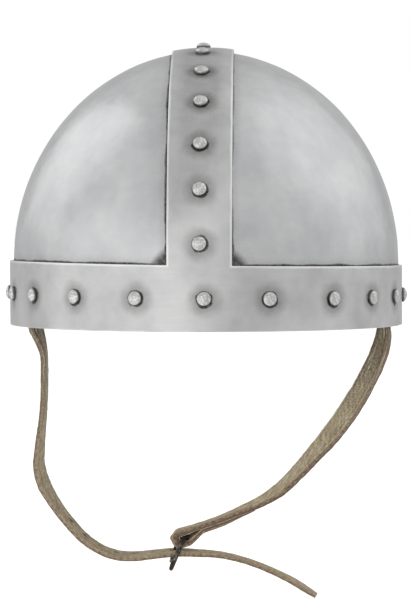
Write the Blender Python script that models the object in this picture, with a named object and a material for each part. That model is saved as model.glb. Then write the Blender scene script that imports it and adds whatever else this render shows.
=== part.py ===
# Norse iron helmet: two skull plates riveted under one frame of brow band and
# crest band, with a two-part leather chin strap closed by a small prong buckle.
# Metres, +Z up, the wearer faces -Y. The origin is the crown of the hollow,
# where a head carries the helmet, so everything else lies below it.

import bpy
import bmesh
from math import asin, atan2, cos, degrees, pi, radians, sin, sqrt
from mathutils import Matrix, Vector

# The skull: half an ellipsoid on a short upright wall
SKULL_HALF_WIDTH = 0.1000
SKULL_HALF_LENGTH = 0.1175
SKULL_RISE = 0.1096
WALL_HEIGHT = 0.0320
CROWN_HEIGHT = 0.1360
RIM_Z = -CROWN_HEIGHT
SPRING_Z = RIM_Z + WALL_HEIGHT
SMOOTH_ANGLE = 35.0

# Sheet iron and the clearances between sheets and between loose pieces
SHEET = 0.0016
SHEET_GAP = 0.00035
CLEARANCE = 0.0003
BAND_INSIDE = -SHEET_GAP
BAND_OUTSIDE = -SHEET_GAP - SHEET

# The brow band is cut a little taller towards the wearer's right
BROW_TILT = -0.012

# The crest band sits a little to the wearer's right of the middle
CREST_OFFSET = -0.0013
CREST_WIDTH = 0.0316
CREST_COLUMNS = 4
CREST_ROWS = 48
BROW_SIDE_STEPS = 44

# The skull plates lap under the crest band, the right one stepped inwards
PLATE_FOOT = 0.0030
LAP_REACH = 0.0100
LAP_DROP = SHEET + SHEET_GAP
JOGGLE_START = 0.0112
JOGGLE_END = 0.0134
LAP_ROWS = 3
PLATE_ROWS = 13
PLATE_COLUMNS = 28

# Rivets: domed head outside, shank, flat peened button inside
HEAD_RADIUS = 0.0039
HEAD_HEIGHT = 0.0026
HEAD_PROFILE = ((0.56, 0.86), (0.92, 0.42), (1.00, 0.00))
SHANK_RADIUS = 0.0020
HOLE_RADIUS = 0.00255
BUTTON_RADIUS = 0.0031
BUTTON_HEIGHT = 0.0012
BUTTON_TAPER = 0.9
RIVET_SEAT = CLEARANCE
BUTTON_SEAT = 0.0006
RIVET_SIDES = 10
HOLE_SIDES = 8
HOLE_REACH = 0.0120

# Angles round the brow from the front, in degrees, + towards +X
BROW_RIVETS = (0.6, 18.6, 38.8, 55.1, 71.0, 87.5, 104.5,
               124.0, 143.5, 162.0, 180.0, 198.0, 216.5, 235.5,
               254.0, 270.5, 287.0, 303.4, 322.1, 341.6)
RIGHT_STRAP_RIVET = 104.5
LEFT_STRAP_RIVET = 254.0

# Angles over the crown from the front, in degrees
CREST_RIVETS = (5.4, 19.2, 31.8, 45.8, 59.6, 74.0, 88.1,
                106.0, 120.4, 134.2, 148.2, 160.8, 174.6)

# Chin strap: two plies of suede stitched together
STRAP_WIDTH = 0.0137
STRAP_THICKNESS = 0.0028
STRAP_SEAT = 0.0009
STRAP_TOP = 0.0270
STRAP_LEAVES_WALL = 0.0070
STRAP_STEP = 0.0060
ROUTE_PIECES = 12
STRAP_DEPTH = 0.0300

# Routes of the strap's middle line below the skull's wall: x, y and height over
# the rim in metres, and how far the inner face rolls towards the front in degrees
TAIL_ROUTE = (
    # x,       y,      height,  roll
    (-0.0922, 0.0313, 0.0000, 16.0),
    (-0.0914, 0.0312, -0.0035, 21.5),
    (-0.0896, 0.0310, -0.0088, 14.0),
    (-0.0877, 0.0308, -0.0152, 5.0),
    (-0.0869, 0.0305, -0.0311, 2.5),
    (-0.0876, 0.0302, -0.0490, 3.0),
    (-0.0893, 0.0300, -0.0661, 9.5),
    (-0.0897, 0.0300, -0.0775, 17.0),
    (-0.0877, 0.0300, -0.0852, 21.5),
    (-0.0803, 0.0300, -0.0980, 14.0),
    (-0.0735, 0.0300, -0.1066, 12.0),
    (-0.0650, 0.0300, -0.1154, 10.0),
    (-0.0565, 0.0300, -0.1212, 8.0),
    (-0.0480, 0.0300, -0.1242, 7.0),
    (-0.0395, 0.0300, -0.1250, 6.0),
    (-0.0300, 0.0300, -0.1241, 5.0),
    (-0.0180, 0.0300, -0.1229, 3.5),
    (-0.0056, 0.0300, -0.1232, 2.5),
    (0.0072, 0.0300, -0.1239, 1.5),
    (0.0199, 0.0300, -0.1269, 1.0),
    (0.0326, 0.0300, -0.1319, 2.0),
    (0.0454, 0.0300, -0.1380, 3.0),
    (0.0581, 0.0300, -0.1461, 4.0),
)
BUCKLE_ROUTE = (
    # x,       y,      height,  roll
    (0.0932, 0.0287, 0.0000, 15.5),
    (0.0931, 0.0288, -0.0040, 21.0),
    (0.0906, 0.0290, -0.0154, 31.5),
    (0.0850, 0.0294, -0.0295, 35.0),
    (0.0755, 0.0298, -0.0466, 37.0),
    (0.0653, 0.0300, -0.0606, 33.0),
    (0.0565, 0.0300, -0.0702, 25.0),
    (0.0470, 0.0300, -0.0804, 20.0),
    (0.0375, 0.0300, -0.0892, 16.0),
    (0.0284, 0.0300, -0.0950, 11.0),
    (0.0157, 0.0300, -0.1009, 3.0),
    (0.0030, 0.0300, -0.1062, 0.0),
    (-0.0056, 0.0300, -0.1097, 0.0),
)

# Buckle frame: a rounded rectangle of round iron; its bars' x and height
BACK_BAR = (-0.0123, -0.1151)
FRONT_BAR = (-0.0191, -0.1313)
WIRE_RADIUS = 0.00115
WIRE_SIDES = 8
FRAME_HALF_WIDTH = 0.0084
FRAME_CORNER = 0.0022
CORNER_STEPS = 3

# The strap turns loosely round the back bar and runs back under itself, thinned at its end
FOLD_SLOPE = 18.0
FOLD_SLACK = 0.0019
FOLD_RADIUS = WIRE_RADIUS + 0.0009 + STRAP_THICKNESS / 2
FOLD_STEPS = 8
FOLD_LENGTH = 0.0430
PLY_PITCH = STRAP_THICKNESS + CLEARANCE
CLOSING_START = 0.0030
CLOSING_END = 0.0130
RETURN_THICKNESS = 0.0022
SKIVE_LENGTH = 0.0080
SKIVED_THICKNESS = 0.0008
SLOT_HALF_WIDTH = 0.0015
SLOT_REACH = 0.0042
SLOT_MARGIN = 0.0010

# Punched holes by their x, and the pointed free end
TAIL_HOLES = (-0.0739, -0.0665, -0.0580, -0.0487, -0.0387, -0.0288, -0.0180)
TAIL_HOLE_RADIUS = 0.0017
POINT_LENGTH = 0.0090
POINT_WIDTH = 0.0030

# The prong hooks round the back bar and lies on the front bar: x and height
PRONG_RADIUS = 0.0009
PRONG_HOOK = WIRE_RADIUS + CLEARANCE + PRONG_RADIUS
PRONG_HOOK_START = 215.0
PRONG_HOOK_END = 455.0
PRONG_HOOK_STEPS = 8
PRONG_ROUTE = ((-0.0151, -0.1134), (-0.0173, -0.1150), (-0.0182, -0.1178),
               (-0.0181, -0.1229), (-0.0185, -0.1261), (-0.0197, -0.1289))


def finish(name, colour, metallic, roughness):
    """Material of one kind of piece."""
    material = bpy.data.materials.new(name)
    material.use_nodes = True
    shader = material.node_tree.nodes["Principled BSDF"]
    shader.inputs["Base Color"].default_value = (*colour, 1.0)
    shader.inputs["Metallic"].default_value = metallic
    shader.inputs["Roughness"].default_value = roughness
    return material


def make_object(name, vertices, faces, material):
    """One closed piece with outward faces, smooth but for its sharp edges."""
    shape = bmesh.new()
    corners = [shape.verts.new(v) for v in vertices]
    for face in faces:
        shape.faces.new([corners[i] for i in face])
    bmesh.ops.recalc_face_normals(shape, faces=shape.faces)
    mesh = bpy.data.meshes.new(name)
    shape.to_mesh(mesh)
    shape.free()
    mesh.materials.append(material)
    mesh.shade_smooth()
    mesh.set_sharp_from_angle(angle=radians(SMOOTH_ANGLE))
    piece = bpy.data.objects.new(name, mesh)
    bpy.context.collection.objects.link(piece)
    return piece


def skull_point(x, angle, inset):
    """Point over the crown at side x and angle from the front, inset from the skull's skin."""
    reach = sqrt(max(0.0, 1 - (x / (SKULL_HALF_WIDTH - inset)) ** 2))
    y = -(SKULL_HALF_LENGTH - inset) * reach * cos(angle)
    z = SPRING_Z + (SKULL_RISE - inset) * reach * sin(angle)
    return Vector((x, y, z))


def wall_point(angle, height, inset):
    """Point of the upright wall at an angle round the brow."""
    x = (SKULL_HALF_WIDTH - inset) * sin(angle)
    y = -(SKULL_HALF_LENGTH - inset) * cos(angle)
    return Vector((x, y, RIM_Z + height))


def brow_point(angle, share, inset):
    """Point of the brow band at a share of its height, which changes from side to side."""
    point = wall_point(angle, 0, inset)
    point.z += (WALL_HEIGHT + BROW_TILT * point.x) * share
    return point


def wall_normal(angle):
    """Outward direction of the wall at an angle round the brow."""
    x = sin(angle) / (SKULL_HALF_WIDTH - BAND_OUTSIDE)
    y = -cos(angle) / (SKULL_HALF_LENGTH - BAND_OUTSIDE)
    return Vector((x, y, 0)).normalized()


def crest_normal(point):
    """Outward direction of the skull's skin at a point over the crown."""
    x = point.x / (SKULL_HALF_WIDTH - BAND_OUTSIDE) ** 2
    y = point.y / (SKULL_HALF_LENGTH - BAND_OUTSIDE) ** 2
    z = (point.z - SPRING_Z) / (SKULL_RISE - BAND_OUTSIDE) ** 2
    return Vector((x, y, z)).normalized()


def band_frame(material):
    """Brow band and crest band as one sheet."""
    columns = [CREST_OFFSET + CREST_WIDTH * (i / CREST_COLUMNS - 0.5)
               for i in range(CREST_COLUMNS + 1)]
    vertices = []

    def add(point):
        vertices.append(point)
        return len(vertices) - 1

    def brow_ring(share, inset):
        """Vertex numbers round the brow: front columns, right side, back columns, left side."""
        half = SKULL_HALF_WIDTH - inset
        left, right = asin(columns[0] / half), asin(columns[-1] / half)
        ring = [add(brow_point(asin(x / half), share, inset)) for x in columns]
        for i in range(1, BROW_SIDE_STEPS):
            angle = right + (pi - 2 * right) * i / BROW_SIDE_STEPS
            ring.append(add(brow_point(angle, share, inset)))
        ring += [add(brow_point(pi - asin(x / half), share, inset)) for x in reversed(columns)]
        for i in range(1, BROW_SIDE_STEPS):
            angle = pi - left + (pi + 2 * left) * i / BROW_SIDE_STEPS
            ring.append(add(brow_point(angle, share, inset)))
        return ring

    faces = []
    outer_foot = brow_ring(0, BAND_OUTSIDE)
    outer_top = brow_ring(1, BAND_OUTSIDE)
    inner_foot = brow_ring(0, BAND_INSIDE)
    inner_top = brow_ring(1, BAND_INSIDE)
    count = len(outer_foot)
    back_start = CREST_COLUMNS + BROW_SIDE_STEPS
    for i in range(count):
        j = (i + 1) % count
        faces.append((outer_foot[i], outer_foot[j], outer_top[j], outer_top[i]))
        faces.append((inner_foot[j], inner_foot[i], inner_top[i], inner_top[j]))
        faces.append((outer_foot[j], outer_foot[i], inner_foot[i], inner_foot[j]))
        if not (i < CREST_COLUMNS or back_start <= i < back_start + CREST_COLUMNS):
            faces.append((outer_top[i], outer_top[j], inner_top[j], inner_top[i]))

    def crest_grid(top, inset):
        """Rows over the crown between the front and back columns of the brow's top edge."""
        rows = [top[:CREST_COLUMNS + 1]]
        for r in range(1, CREST_ROWS):
            angle = pi * r / CREST_ROWS
            rows.append([add(skull_point(x, angle, inset)) for x in columns])
        rows.append(top[back_start:back_start + CREST_COLUMNS + 1][::-1])
        return rows

    outer = crest_grid(outer_top, BAND_OUTSIDE)
    inner = crest_grid(inner_top, BAND_INSIDE)
    for r in range(CREST_ROWS):
        for c in range(CREST_COLUMNS):
            faces.append((outer[r][c], outer[r][c + 1], outer[r + 1][c + 1], outer[r + 1][c]))
            faces.append((inner[r][c + 1], inner[r][c], inner[r + 1][c], inner[r + 1][c + 1]))
        for c in (0, CREST_COLUMNS):
            faces.append((outer[r][c], outer[r + 1][c], inner[r + 1][c], inner[r][c]))
    return make_object("band_frame", vertices, faces, material)


def lap_inset(x):
    """How far the right plate is stepped inwards under the left one."""
    start, end = CREST_OFFSET + JOGGLE_START, CREST_OFFSET + JOGGLE_END
    if x <= start:
        return LAP_DROP
    if x >= end:
        return 0.0
    return LAP_DROP * (end - x) / (end - start)


def skull_plate(name, side, material):
    """Half of the skull: side -1 lies on top in the lap, side +1 steps in under it."""
    edge = CREST_OFFSET - side * LAP_REACH
    sides = [edge]
    if side > 0:
        flat_end = CREST_OFFSET + JOGGLE_START
        sides += [edge + (flat_end - edge) * i / LAP_ROWS for i in range(1, LAP_ROWS + 1)]
        sides.append(CREST_OFFSET + JOGGLE_END)
    first = asin(sides[-1] / SKULL_HALF_WIDTH)
    for i in range(1, PLATE_ROWS):
        sides.append(SKULL_HALF_WIDTH * sin(first + (side * pi / 2 - first) * i / PLATE_ROWS))
    vertices, faces = [], []

    def add(point):
        vertices.append(point)
        return len(vertices) - 1

    def skin(depth):
        """Rows over the crown, the ear point, the spring line and the foot of the wall."""
        rows = []
        for x in sides:
            inset = depth + (lap_inset(x) if side > 0 else 0.0)
            across = x * (SKULL_HALF_WIDTH - inset) / SKULL_HALF_WIDTH
            rows.append([add(skull_point(across, pi * c / PLATE_COLUMNS, inset))
                         for c in range(PLATE_COLUMNS + 1)])
        ear = add(Vector((side * (SKULL_HALF_WIDTH - depth), 0, SPRING_Z)))
        spring = [row[0] for row in rows] + [ear] + [row[-1] for row in reversed(rows)]
        drop = Vector((0, 0, PLATE_FOOT - WALL_HEIGHT))
        foot = [add(vertices[i] + drop) for i in spring]
        return rows, ear, spring, foot

    outside, inside = skin(0.0), skin(SHEET)
    for rows, ear, spring, foot in (outside, inside):
        for upper, lower in zip(rows, rows[1:]):
            for c in range(PLATE_COLUMNS):
                faces.append((upper[c], upper[c + 1], lower[c + 1], lower[c]))
        for c in range(PLATE_COLUMNS):
            faces.append((rows[-1][c], rows[-1][c + 1], ear))
        for i in range(len(foot) - 1):
            faces.append((spring[i], spring[i + 1], foot[i + 1], foot[i]))
    rows, _, spring, foot = outside
    rows_in, _, spring_in, foot_in = inside
    for c in range(PLATE_COLUMNS):
        faces.append((rows[0][c], rows[0][c + 1], rows_in[0][c + 1], rows_in[0][c]))
    for i in range(len(foot) - 1):
        faces.append((foot[i], foot[i + 1], foot_in[i + 1], foot_in[i]))
    for end in (0, -1):
        faces.append((spring[end], foot[end], foot_in[end], spring_in[end]))
    return make_object(name, vertices, faces, material)


def rivet(name, place, grip, material):
    """Rivet with its head just over a place of the band and its button behind the grip."""
    back = -grip - BUTTON_SEAT
    rings = [(HEAD_RADIUS * across, RIVET_SEAT + HEAD_HEIGHT * up) for across, up in HEAD_PROFILE]
    rings += [(SHANK_RADIUS, RIVET_SEAT), (SHANK_RADIUS, back), (BUTTON_RADIUS, back),
              (BUTTON_RADIUS * BUTTON_TAPER, back - BUTTON_HEIGHT)]
    vertices, faces = [Vector((0, 0, RIVET_SEAT + HEAD_HEIGHT))], []
    for radius, height in rings:
        for s in range(RIVET_SIDES):
            angle = 2 * pi * s / RIVET_SIDES
            vertices.append(Vector((radius * cos(angle), radius * sin(angle), height)))
    for s in range(RIVET_SIDES):
        t = (s + 1) % RIVET_SIDES
        faces.append((0, 1 + s, 1 + t))
        for r in range(len(rings) - 1):
            upper, lower = 1 + r * RIVET_SIDES, 1 + (r + 1) * RIVET_SIDES
            faces.append((upper + s, upper + t, lower + t, lower + s))
    faces.append([len(vertices) - 1 - s for s in range(RIVET_SIDES)])
    piece = make_object(name, vertices, faces, material)
    point, normal = place
    turn = Vector((0, 0, 1)).rotation_difference(normal).to_matrix().to_4x4()
    piece.matrix_world = Matrix.Translation(point) @ turn
    return piece


def hole_cutter(name, places, radius, reach):
    """One cutter with a cylinder through each place along its direction."""
    vertices, faces = [], []
    for point, normal in places:
        turn = Vector((0, 0, 1)).rotation_difference(normal).to_matrix()
        start = len(vertices)
        for height in (-reach, reach):
            for s in range(HOLE_SIDES):
                angle = 2 * pi * s / HOLE_SIDES
                spoke = Vector((radius * cos(angle), radius * sin(angle), height))
                vertices.append(point + turn @ spoke)
        for s in range(HOLE_SIDES):
            t = (s + 1) % HOLE_SIDES
            faces.append((start + s, start + t, start + HOLE_SIDES + t, start + HOLE_SIDES + s))
        faces.append([start + s for s in range(HOLE_SIDES)])
        faces.append([start + HOLE_SIDES + s for s in range(HOLE_SIDES)])
    return as_cutter(make_object(name, vertices, faces, None))


def as_cutter(piece):
    """Mark a shape as a tool that isn't part of the helmet."""
    piece.hide_render = True
    piece.display_type = "WIRE"
    return piece


def cut(piece, cutter):
    """Take the cutter's shape out of the piece."""
    modifier = piece.modifiers.new(cutter.name, "BOOLEAN")
    modifier.operation = "DIFFERENCE"
    modifier.solver = "EXACT"
    modifier.object = cutter


def smooth_route(rows, step):
    """Evenly spaced rows read from a smooth curve through the given rows."""
    rows = [Vector(row) for row in rows]
    spans = [(b.xyz - a.xyz).length for a, b in zip(rows, rows[1:])]
    slopes = [(rows[1] - rows[0]) / spans[0]]
    for i in range(1, len(rows) - 1):
        before = (rows[i] - rows[i - 1]) / spans[i - 1]
        after = (rows[i + 1] - rows[i]) / spans[i]
        slopes.append((before * spans[i] + after * spans[i - 1]) / (spans[i - 1] + spans[i]))
    slopes.append((rows[-1] - rows[-2]) / spans[-1])
    fine = [rows[0]]
    for i, span in enumerate(spans):
        for k in range(1, ROUTE_PIECES + 1):
            t = k / ROUTE_PIECES
            fine.append((2 * t**3 - 3 * t**2 + 1) * rows[i]
                        + (t**3 - 2 * t**2 + t) * span * slopes[i]
                        + (3 * t**2 - 2 * t**3) * rows[i + 1]
                        + (t**3 - t**2) * span * slopes[i + 1])
    reached = [0.0]
    for a, b in zip(fine, fine[1:]):
        reached.append(reached[-1] + (b.xyz - a.xyz).length)
    count = round(reached[-1] / step)
    even, k = [], 0
    for i in range(count + 1):
        target = reached[-1] * i / count
        while k < len(fine) - 2 and reached[k + 1] < target:
            k += 1
        share = (target - reached[k]) / (reached[k + 1] - reached[k])
        even.append(fine[k].lerp(fine[k + 1], share))
    return even


def strap_frames(rows, side):
    """Centre, width direction and inner face's direction at each row; side -1 is at -X."""
    frames = []
    for i, row in enumerate(rows):
        before, after = rows[max(i - 1, 0)].xyz, rows[min(i + 1, len(rows) - 1)].xyz
        along = (after - before).normalized()
        depth = Vector((0, 1, 0))
        depth = (depth - along * depth.dot(along)).normalized()
        face = depth.cross(along) * side
        roll = radians(row[3])
        frames.append((row.xyz, depth * cos(roll) + face * sin(roll),
                       face * cos(roll) - depth * sin(roll)))
    return frames


def strap_solid(name, sections, material):
    """Flat strap through sections of centre, width direction, face direction, width, thickness."""
    vertices, faces = [], []
    for centre, across, face, width, thickness in sections:
        for a, b in ((-0.5, -0.5), (0.5, -0.5), (0.5, 0.5), (-0.5, 0.5)):
            vertices.append(centre + across * a * width + face * b * thickness)
    last = 4 * (len(sections) - 1)
    for start in range(0, last, 4):
        for k in range(4):
            n = (k + 1) % 4
            faces.append((start + k, start + n, start + 4 + n, start + 4 + k))
    faces.append((0, 1, 2, 3))
    faces.append((last, last + 1, last + 2, last + 3))
    return make_object(name, vertices, faces, material)


def whole_route(angle, table):
    """Route from the strap's top, flat on the skull's wall behind its rivet, through a table."""
    seat = wall_point(angle, 0, SHEET + STRAP_SEAT + STRAP_THICKNESS / 2)
    normal = wall_normal(angle)
    roll = degrees(atan2(abs(normal.y), abs(normal.x)))
    rows = [(seat.x, seat.y, RIM_Z + height, roll) for height in (STRAP_TOP, STRAP_LEAVES_WALL)]
    return rows + [(x, y, RIM_Z + height, turn) for x, y, height, turn in table]


def tail_hole_places(frames):
    """Where the punched holes go: on the strap's middle line at each hole's x."""
    places = []
    for x in TAIL_HOLES:
        for (start, _, face), (end, _, next_face) in zip(frames, frames[1:]):
            if start.x <= x < end.x:
                t = (x - start.x) / (end.x - start.x)
                places.append((start.lerp(end, t), face.lerp(next_face, t).normalized()))
    return places


def strap_tail_side(material):
    """Half with the punched holes and the pointed free end."""
    rows = smooth_route(whole_route(radians(LEFT_STRAP_RIVET), TAIL_ROUTE), STRAP_STEP)
    frames = strap_frames(rows, -1)
    sections = []
    for centre, across, face in frames:
        rest = (centre - frames[-1][0]).length
        width = min(STRAP_WIDTH, POINT_WIDTH + (STRAP_WIDTH - POINT_WIDTH) * rest / POINT_LENGTH)
        sections.append((centre, across, face, width, STRAP_THICKNESS))
    strap = strap_solid("strap_tail_side", sections, material)
    cut(strap, hole_cutter("tail_hole_cutter", tail_hole_places(frames),
                           TAIL_HOLE_RADIUS, STRAP_THICKNESS))
    return strap


def strap_buckle_side(material):
    """Half folded round the buckle's back bar, with a slot there for the prong."""
    bar = Vector((BACK_BAR[0], STRAP_DEPTH, RIM_Z + BACK_BAR[1]))
    depth = Vector((0, 1, 0))
    slope = radians(FOLD_SLOPE)
    along = Vector((-cos(slope), 0, -sin(slope)))
    up = Vector((-sin(slope), 0, cos(slope)))
    turn = bar + along * FOLD_SLACK
    meet = turn + up * FOLD_RADIUS
    rows = whole_route(radians(RIGHT_STRAP_RIVET), BUCKLE_ROUTE) + [(*meet, 0.0)]
    frames = strap_frames(smooth_route(rows, STRAP_STEP), 1)[:-1]
    sections = [(*frame, STRAP_WIDTH, STRAP_THICKNESS) for frame in frames]
    for i in range(FOLD_STEPS + 1):
        angle = pi * i / FOLD_STEPS
        out = up * cos(angle) + along * sin(angle)
        sections.append((turn + out * FOLD_RADIUS, depth, out, STRAP_WIDTH, STRAP_THICKNESS))
    for centre, across, face in reversed(frames):
        run = (centre - meet).length
        if run > FOLD_LENGTH:
            break
        closed = min(max((run - CLOSING_START) / (CLOSING_END - CLOSING_START), 0.0), 1.0)
        opening = (1 + cos(pi * closed)) / 2
        pitch = PLY_PITCH + (2 * FOLD_RADIUS - PLY_PITCH) * opening
        thin = max(0.0, 1 - (FOLD_LENGTH - run) / SKIVE_LENGTH)
        thickness = STRAP_THICKNESS + (RETURN_THICKNESS - STRAP_THICKNESS) * closed
        thickness += (SKIVED_THICKNESS - thickness) * thin
        drop = pitch - (STRAP_THICKNESS - thickness) / 2
        sections.append((centre - face * drop, across, -face, STRAP_WIDTH, thickness))
    strap = strap_solid("strap_buckle_side", sections, material)
    past = FOLD_RADIUS + STRAP_THICKNESS / 2 + SLOT_MARGIN
    low = Vector((turn.x - past, bar.y - SLOT_HALF_WIDTH, turn.z - past))
    high = Vector((bar.x + SLOT_REACH, bar.y + SLOT_HALF_WIDTH, turn.z + past))
    cut(strap, box_cutter("prong_slot_cutter", low, high))
    return strap


def box_cutter(name, low, high):
    """Cutter in the shape of a box between two corners."""
    vertices = [Vector((x, y, z)) for x in (low.x, high.x) for y in (low.y, high.y)
                for z in (low.z, high.z)]
    faces = ((0, 1, 3, 2), (4, 6, 7, 5), (0, 4, 5, 1), (2, 3, 7, 6), (0, 2, 6, 4), (1, 5, 7, 3))
    return as_cutter(make_object(name, vertices, faces, None))


def wire(name, path, closed, material):
    """Round wire along a route of points and radii that lies in one plane."""
    count = len(path)
    steady = (path[1][0] - path[0][0]).cross(path[count // 2][0] - path[0][0]).normalized()
    vertices, faces = [], []
    for i, (point, radius) in enumerate(path):
        before = path[i - 1][0] if closed or i else point
        after = path[(i + 1) % count][0] if closed or i < count - 1 else point
        side = (after - before).normalized().cross(steady)
        for s in range(WIRE_SIDES):
            angle = 2 * pi * (s + 0.5) / WIRE_SIDES
            vertices.append(point + (side * cos(angle) + steady * sin(angle)) * radius)
    for i in range(count if closed else count - 1):
        start, following = i * WIRE_SIDES, (i + 1) % count * WIRE_SIDES
        for s in range(WIRE_SIDES):
            t = (s + 1) % WIRE_SIDES
            faces.append((start + s, start + t, following + t, following + s))
    if not closed:
        faces.append(list(range(WIRE_SIDES)))
        faces.append([(count - 1) * WIRE_SIDES + s for s in range(WIRE_SIDES)])
    return make_object(name, vertices, faces, material)


def buckle_frame(material):
    """Rounded rectangle of round iron: two bars along Y joined by two sides."""
    back = Vector((BACK_BAR[0], STRAP_DEPTH, RIM_Z + BACK_BAR[1]))
    front = Vector((FRONT_BAR[0], STRAP_DEPTH, RIM_Z + FRONT_BAR[1]))
    middle, half = (back + front) / 2, (front - back).length / 2
    along, across = (front - back).normalized(), Vector((0, 1, 0))
    path = []
    for quarter, (a, b) in enumerate(((1, 1), (-1, 1), (-1, -1), (1, -1))):
        corner = middle + across * a * (FRAME_HALF_WIDTH - FRAME_CORNER) \
            + along * b * (half - FRAME_CORNER)
        for i in range(CORNER_STEPS + 1):
            angle = pi / 2 * (quarter + i / CORNER_STEPS)
            path.append((corner + (across * cos(angle) + along * sin(angle)) * FRAME_CORNER,
                         WIRE_RADIUS))
    return wire("buckle_frame", path, True, material)


def buckle_prong(material):
    """Wire hooked round the back bar, through a hole of the strap and onto the front bar."""
    bar = Vector((BACK_BAR[0], STRAP_DEPTH, RIM_Z + BACK_BAR[1]))
    path = []
    for i in range(PRONG_HOOK_STEPS + 1):
        share = i / PRONG_HOOK_STEPS
        angle = radians(PRONG_HOOK_START + (PRONG_HOOK_END - PRONG_HOOK_START) * share)
        path.append((bar + Vector((cos(angle), 0, sin(angle))) * PRONG_HOOK, PRONG_RADIUS))
    for x, height in PRONG_ROUTE:
        path.append((Vector((x, STRAP_DEPTH, RIM_Z + height)), PRONG_RADIUS))
    return wire("buckle_prong", path, False, material)


def build():
    for old in list(bpy.data.objects):
        bpy.data.objects.remove(old, do_unlink=True)
    band_iron = finish("band_iron", (0.50, 0.50, 0.50), 1.0, 0.34)
    plate_iron = finish("plate_iron", (0.58, 0.58, 0.58), 1.0, 0.30)
    rivet_iron = finish("rivet_iron", (0.52, 0.52, 0.51), 1.0, 0.32)
    strap_suede = finish("strap_suede", (0.27, 0.22, 0.16), 0.0, 0.90)
    buckle_iron = finish("buckle_iron", (0.03, 0.027, 0.024), 0.8, 0.50)

    frame = band_frame(band_iron)
    plates = [skull_plate("skull_plate_left", -1, plate_iron),
              skull_plate("skull_plate_right", 1, plate_iron)]
    tail, buckled = strap_tail_side(strap_suede), strap_buckle_side(strap_suede)
    buckle_frame(buckle_iron)
    buckle_prong(buckle_iron)

    one_plate = 2 * SHEET + SHEET_GAP
    lapped = one_plate + LAP_DROP
    with_strap = one_plate + STRAP_SEAT + STRAP_THICKNESS
    brow = []
    for number, degree in enumerate(BROW_RIVETS, start=1):
        angle = radians(degree)
        place = (brow_point(angle, 0.5, BAND_OUTSIDE), wall_normal(angle))
        brow.append(place)
        grip = one_plate
        if abs(place[0].x) < LAP_REACH:
            grip = lapped
        if degree in (LEFT_STRAP_RIVET, RIGHT_STRAP_RIVET):
            grip = with_strap
        rivet(f"brow_rivet_{number:02d}", place, grip, rivet_iron)
    crest = []
    for number, degree in enumerate(CREST_RIVETS, start=1):
        point = skull_point(CREST_OFFSET, radians(degree), BAND_OUTSIDE)
        crest.append((point, crest_normal(point)))
        rivet(f"crest_rivet_{number:02d}", crest[-1], lapped, rivet_iron)

    holes = hole_cutter("rivet_hole_cutter", brow + crest, HOLE_RADIUS, HOLE_REACH)
    for piece in (frame, *plates, tail, buckled):
        cut(piece, holes)


build()
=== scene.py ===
# A Norse iron helmet: two skull plates riveted under one frame of brow band and crest band,
# and a suede chin strap in two halves, closed by a small prong buckle. Metres, +Z up, the
# wearer faces -Y, and the origin is the crown of the hollow.
from math import asin, atan2, cos, degrees, pi, radians, sin, sqrt

import bmesh
import bpy
from mathutils import Matrix, Vector, noise


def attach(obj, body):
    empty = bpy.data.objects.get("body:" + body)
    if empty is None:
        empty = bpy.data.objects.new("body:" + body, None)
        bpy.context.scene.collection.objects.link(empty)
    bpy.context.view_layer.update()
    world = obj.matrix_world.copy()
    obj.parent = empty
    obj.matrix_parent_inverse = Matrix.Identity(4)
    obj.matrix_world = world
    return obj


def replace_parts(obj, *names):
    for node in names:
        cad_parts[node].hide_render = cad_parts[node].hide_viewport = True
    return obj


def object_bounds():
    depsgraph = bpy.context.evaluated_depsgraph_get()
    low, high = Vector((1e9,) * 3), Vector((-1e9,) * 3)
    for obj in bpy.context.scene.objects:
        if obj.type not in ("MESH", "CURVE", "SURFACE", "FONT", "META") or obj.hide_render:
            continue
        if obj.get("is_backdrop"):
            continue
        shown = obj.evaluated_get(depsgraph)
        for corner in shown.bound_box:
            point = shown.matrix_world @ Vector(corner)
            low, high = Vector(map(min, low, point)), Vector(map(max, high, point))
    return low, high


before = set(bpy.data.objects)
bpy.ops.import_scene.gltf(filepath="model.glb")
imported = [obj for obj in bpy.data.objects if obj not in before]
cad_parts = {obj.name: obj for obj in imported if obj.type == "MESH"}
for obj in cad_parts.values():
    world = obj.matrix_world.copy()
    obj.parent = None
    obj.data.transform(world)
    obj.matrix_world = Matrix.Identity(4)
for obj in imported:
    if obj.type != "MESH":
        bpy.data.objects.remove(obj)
cad_low, cad_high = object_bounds()


# The studio: a pale floor just under the hanging strap, a tent of light with softly brighter
# and darker patches round the helmet, and a large soft panel on each side. The lens is level
# with the iron and looks slightly down, so that the strap fills the frame's lower half.
LENS_TARGET = Vector((0.00013, 0.0, -0.0860))
LENS_DISTANCE = 1.45
LENS_AZIMUTH = 1.02
LENS_ELEVATION = 0.03
LENS_LENGTH = 166.7
LENS_TURN_DOWN = 1.49
LENS_TURN_LEFT = 0.03
FLOOR_DROP = 0.004
FLOOR_SIZE = 60.0
FLOOR_COLOUR = (0.80, 0.80, 0.795, 1.0)
FLOOR_ROUGHNESS = 0.9
FLOOR_GLOW = 0.50
WHITE = (1.0, 1.0, 1.0, 1.0)
TENT_GLOW = 0.66
TENT_PATCHES = (
    # direction, inner angle, outer angle, radiance added
    ((-0.12, -0.98, 0.14), 4.0, 35.0, 0.21),
    ((0.0, 1.0, 0.0), 32.0, 37.0, -0.12),
    ((0.72, -0.17, 0.67), 38.0, 64.0, 0.10),
)
LOW_PATCH = ((-0.81, -0.41, -0.43), 4.0, 71.0, 0.34)
BELT_FULL = -0.07
BELT_ENDS = 0.83
TENT_WALLS = (
    # side, starts at, is full at, radiance added, and a patch on it like those above
    (-1.0, 0.45, 0.49, 0.08, ((-0.60, 0.51, 0.61), 1.0, 35.0, 0.30)),
    (1.0, 0.25, 0.50, -0.09, ((0.64, 0.41, 0.66), 1.0, 52.0, 0.25)),
)
WALL_FOOT = -0.10
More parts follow.
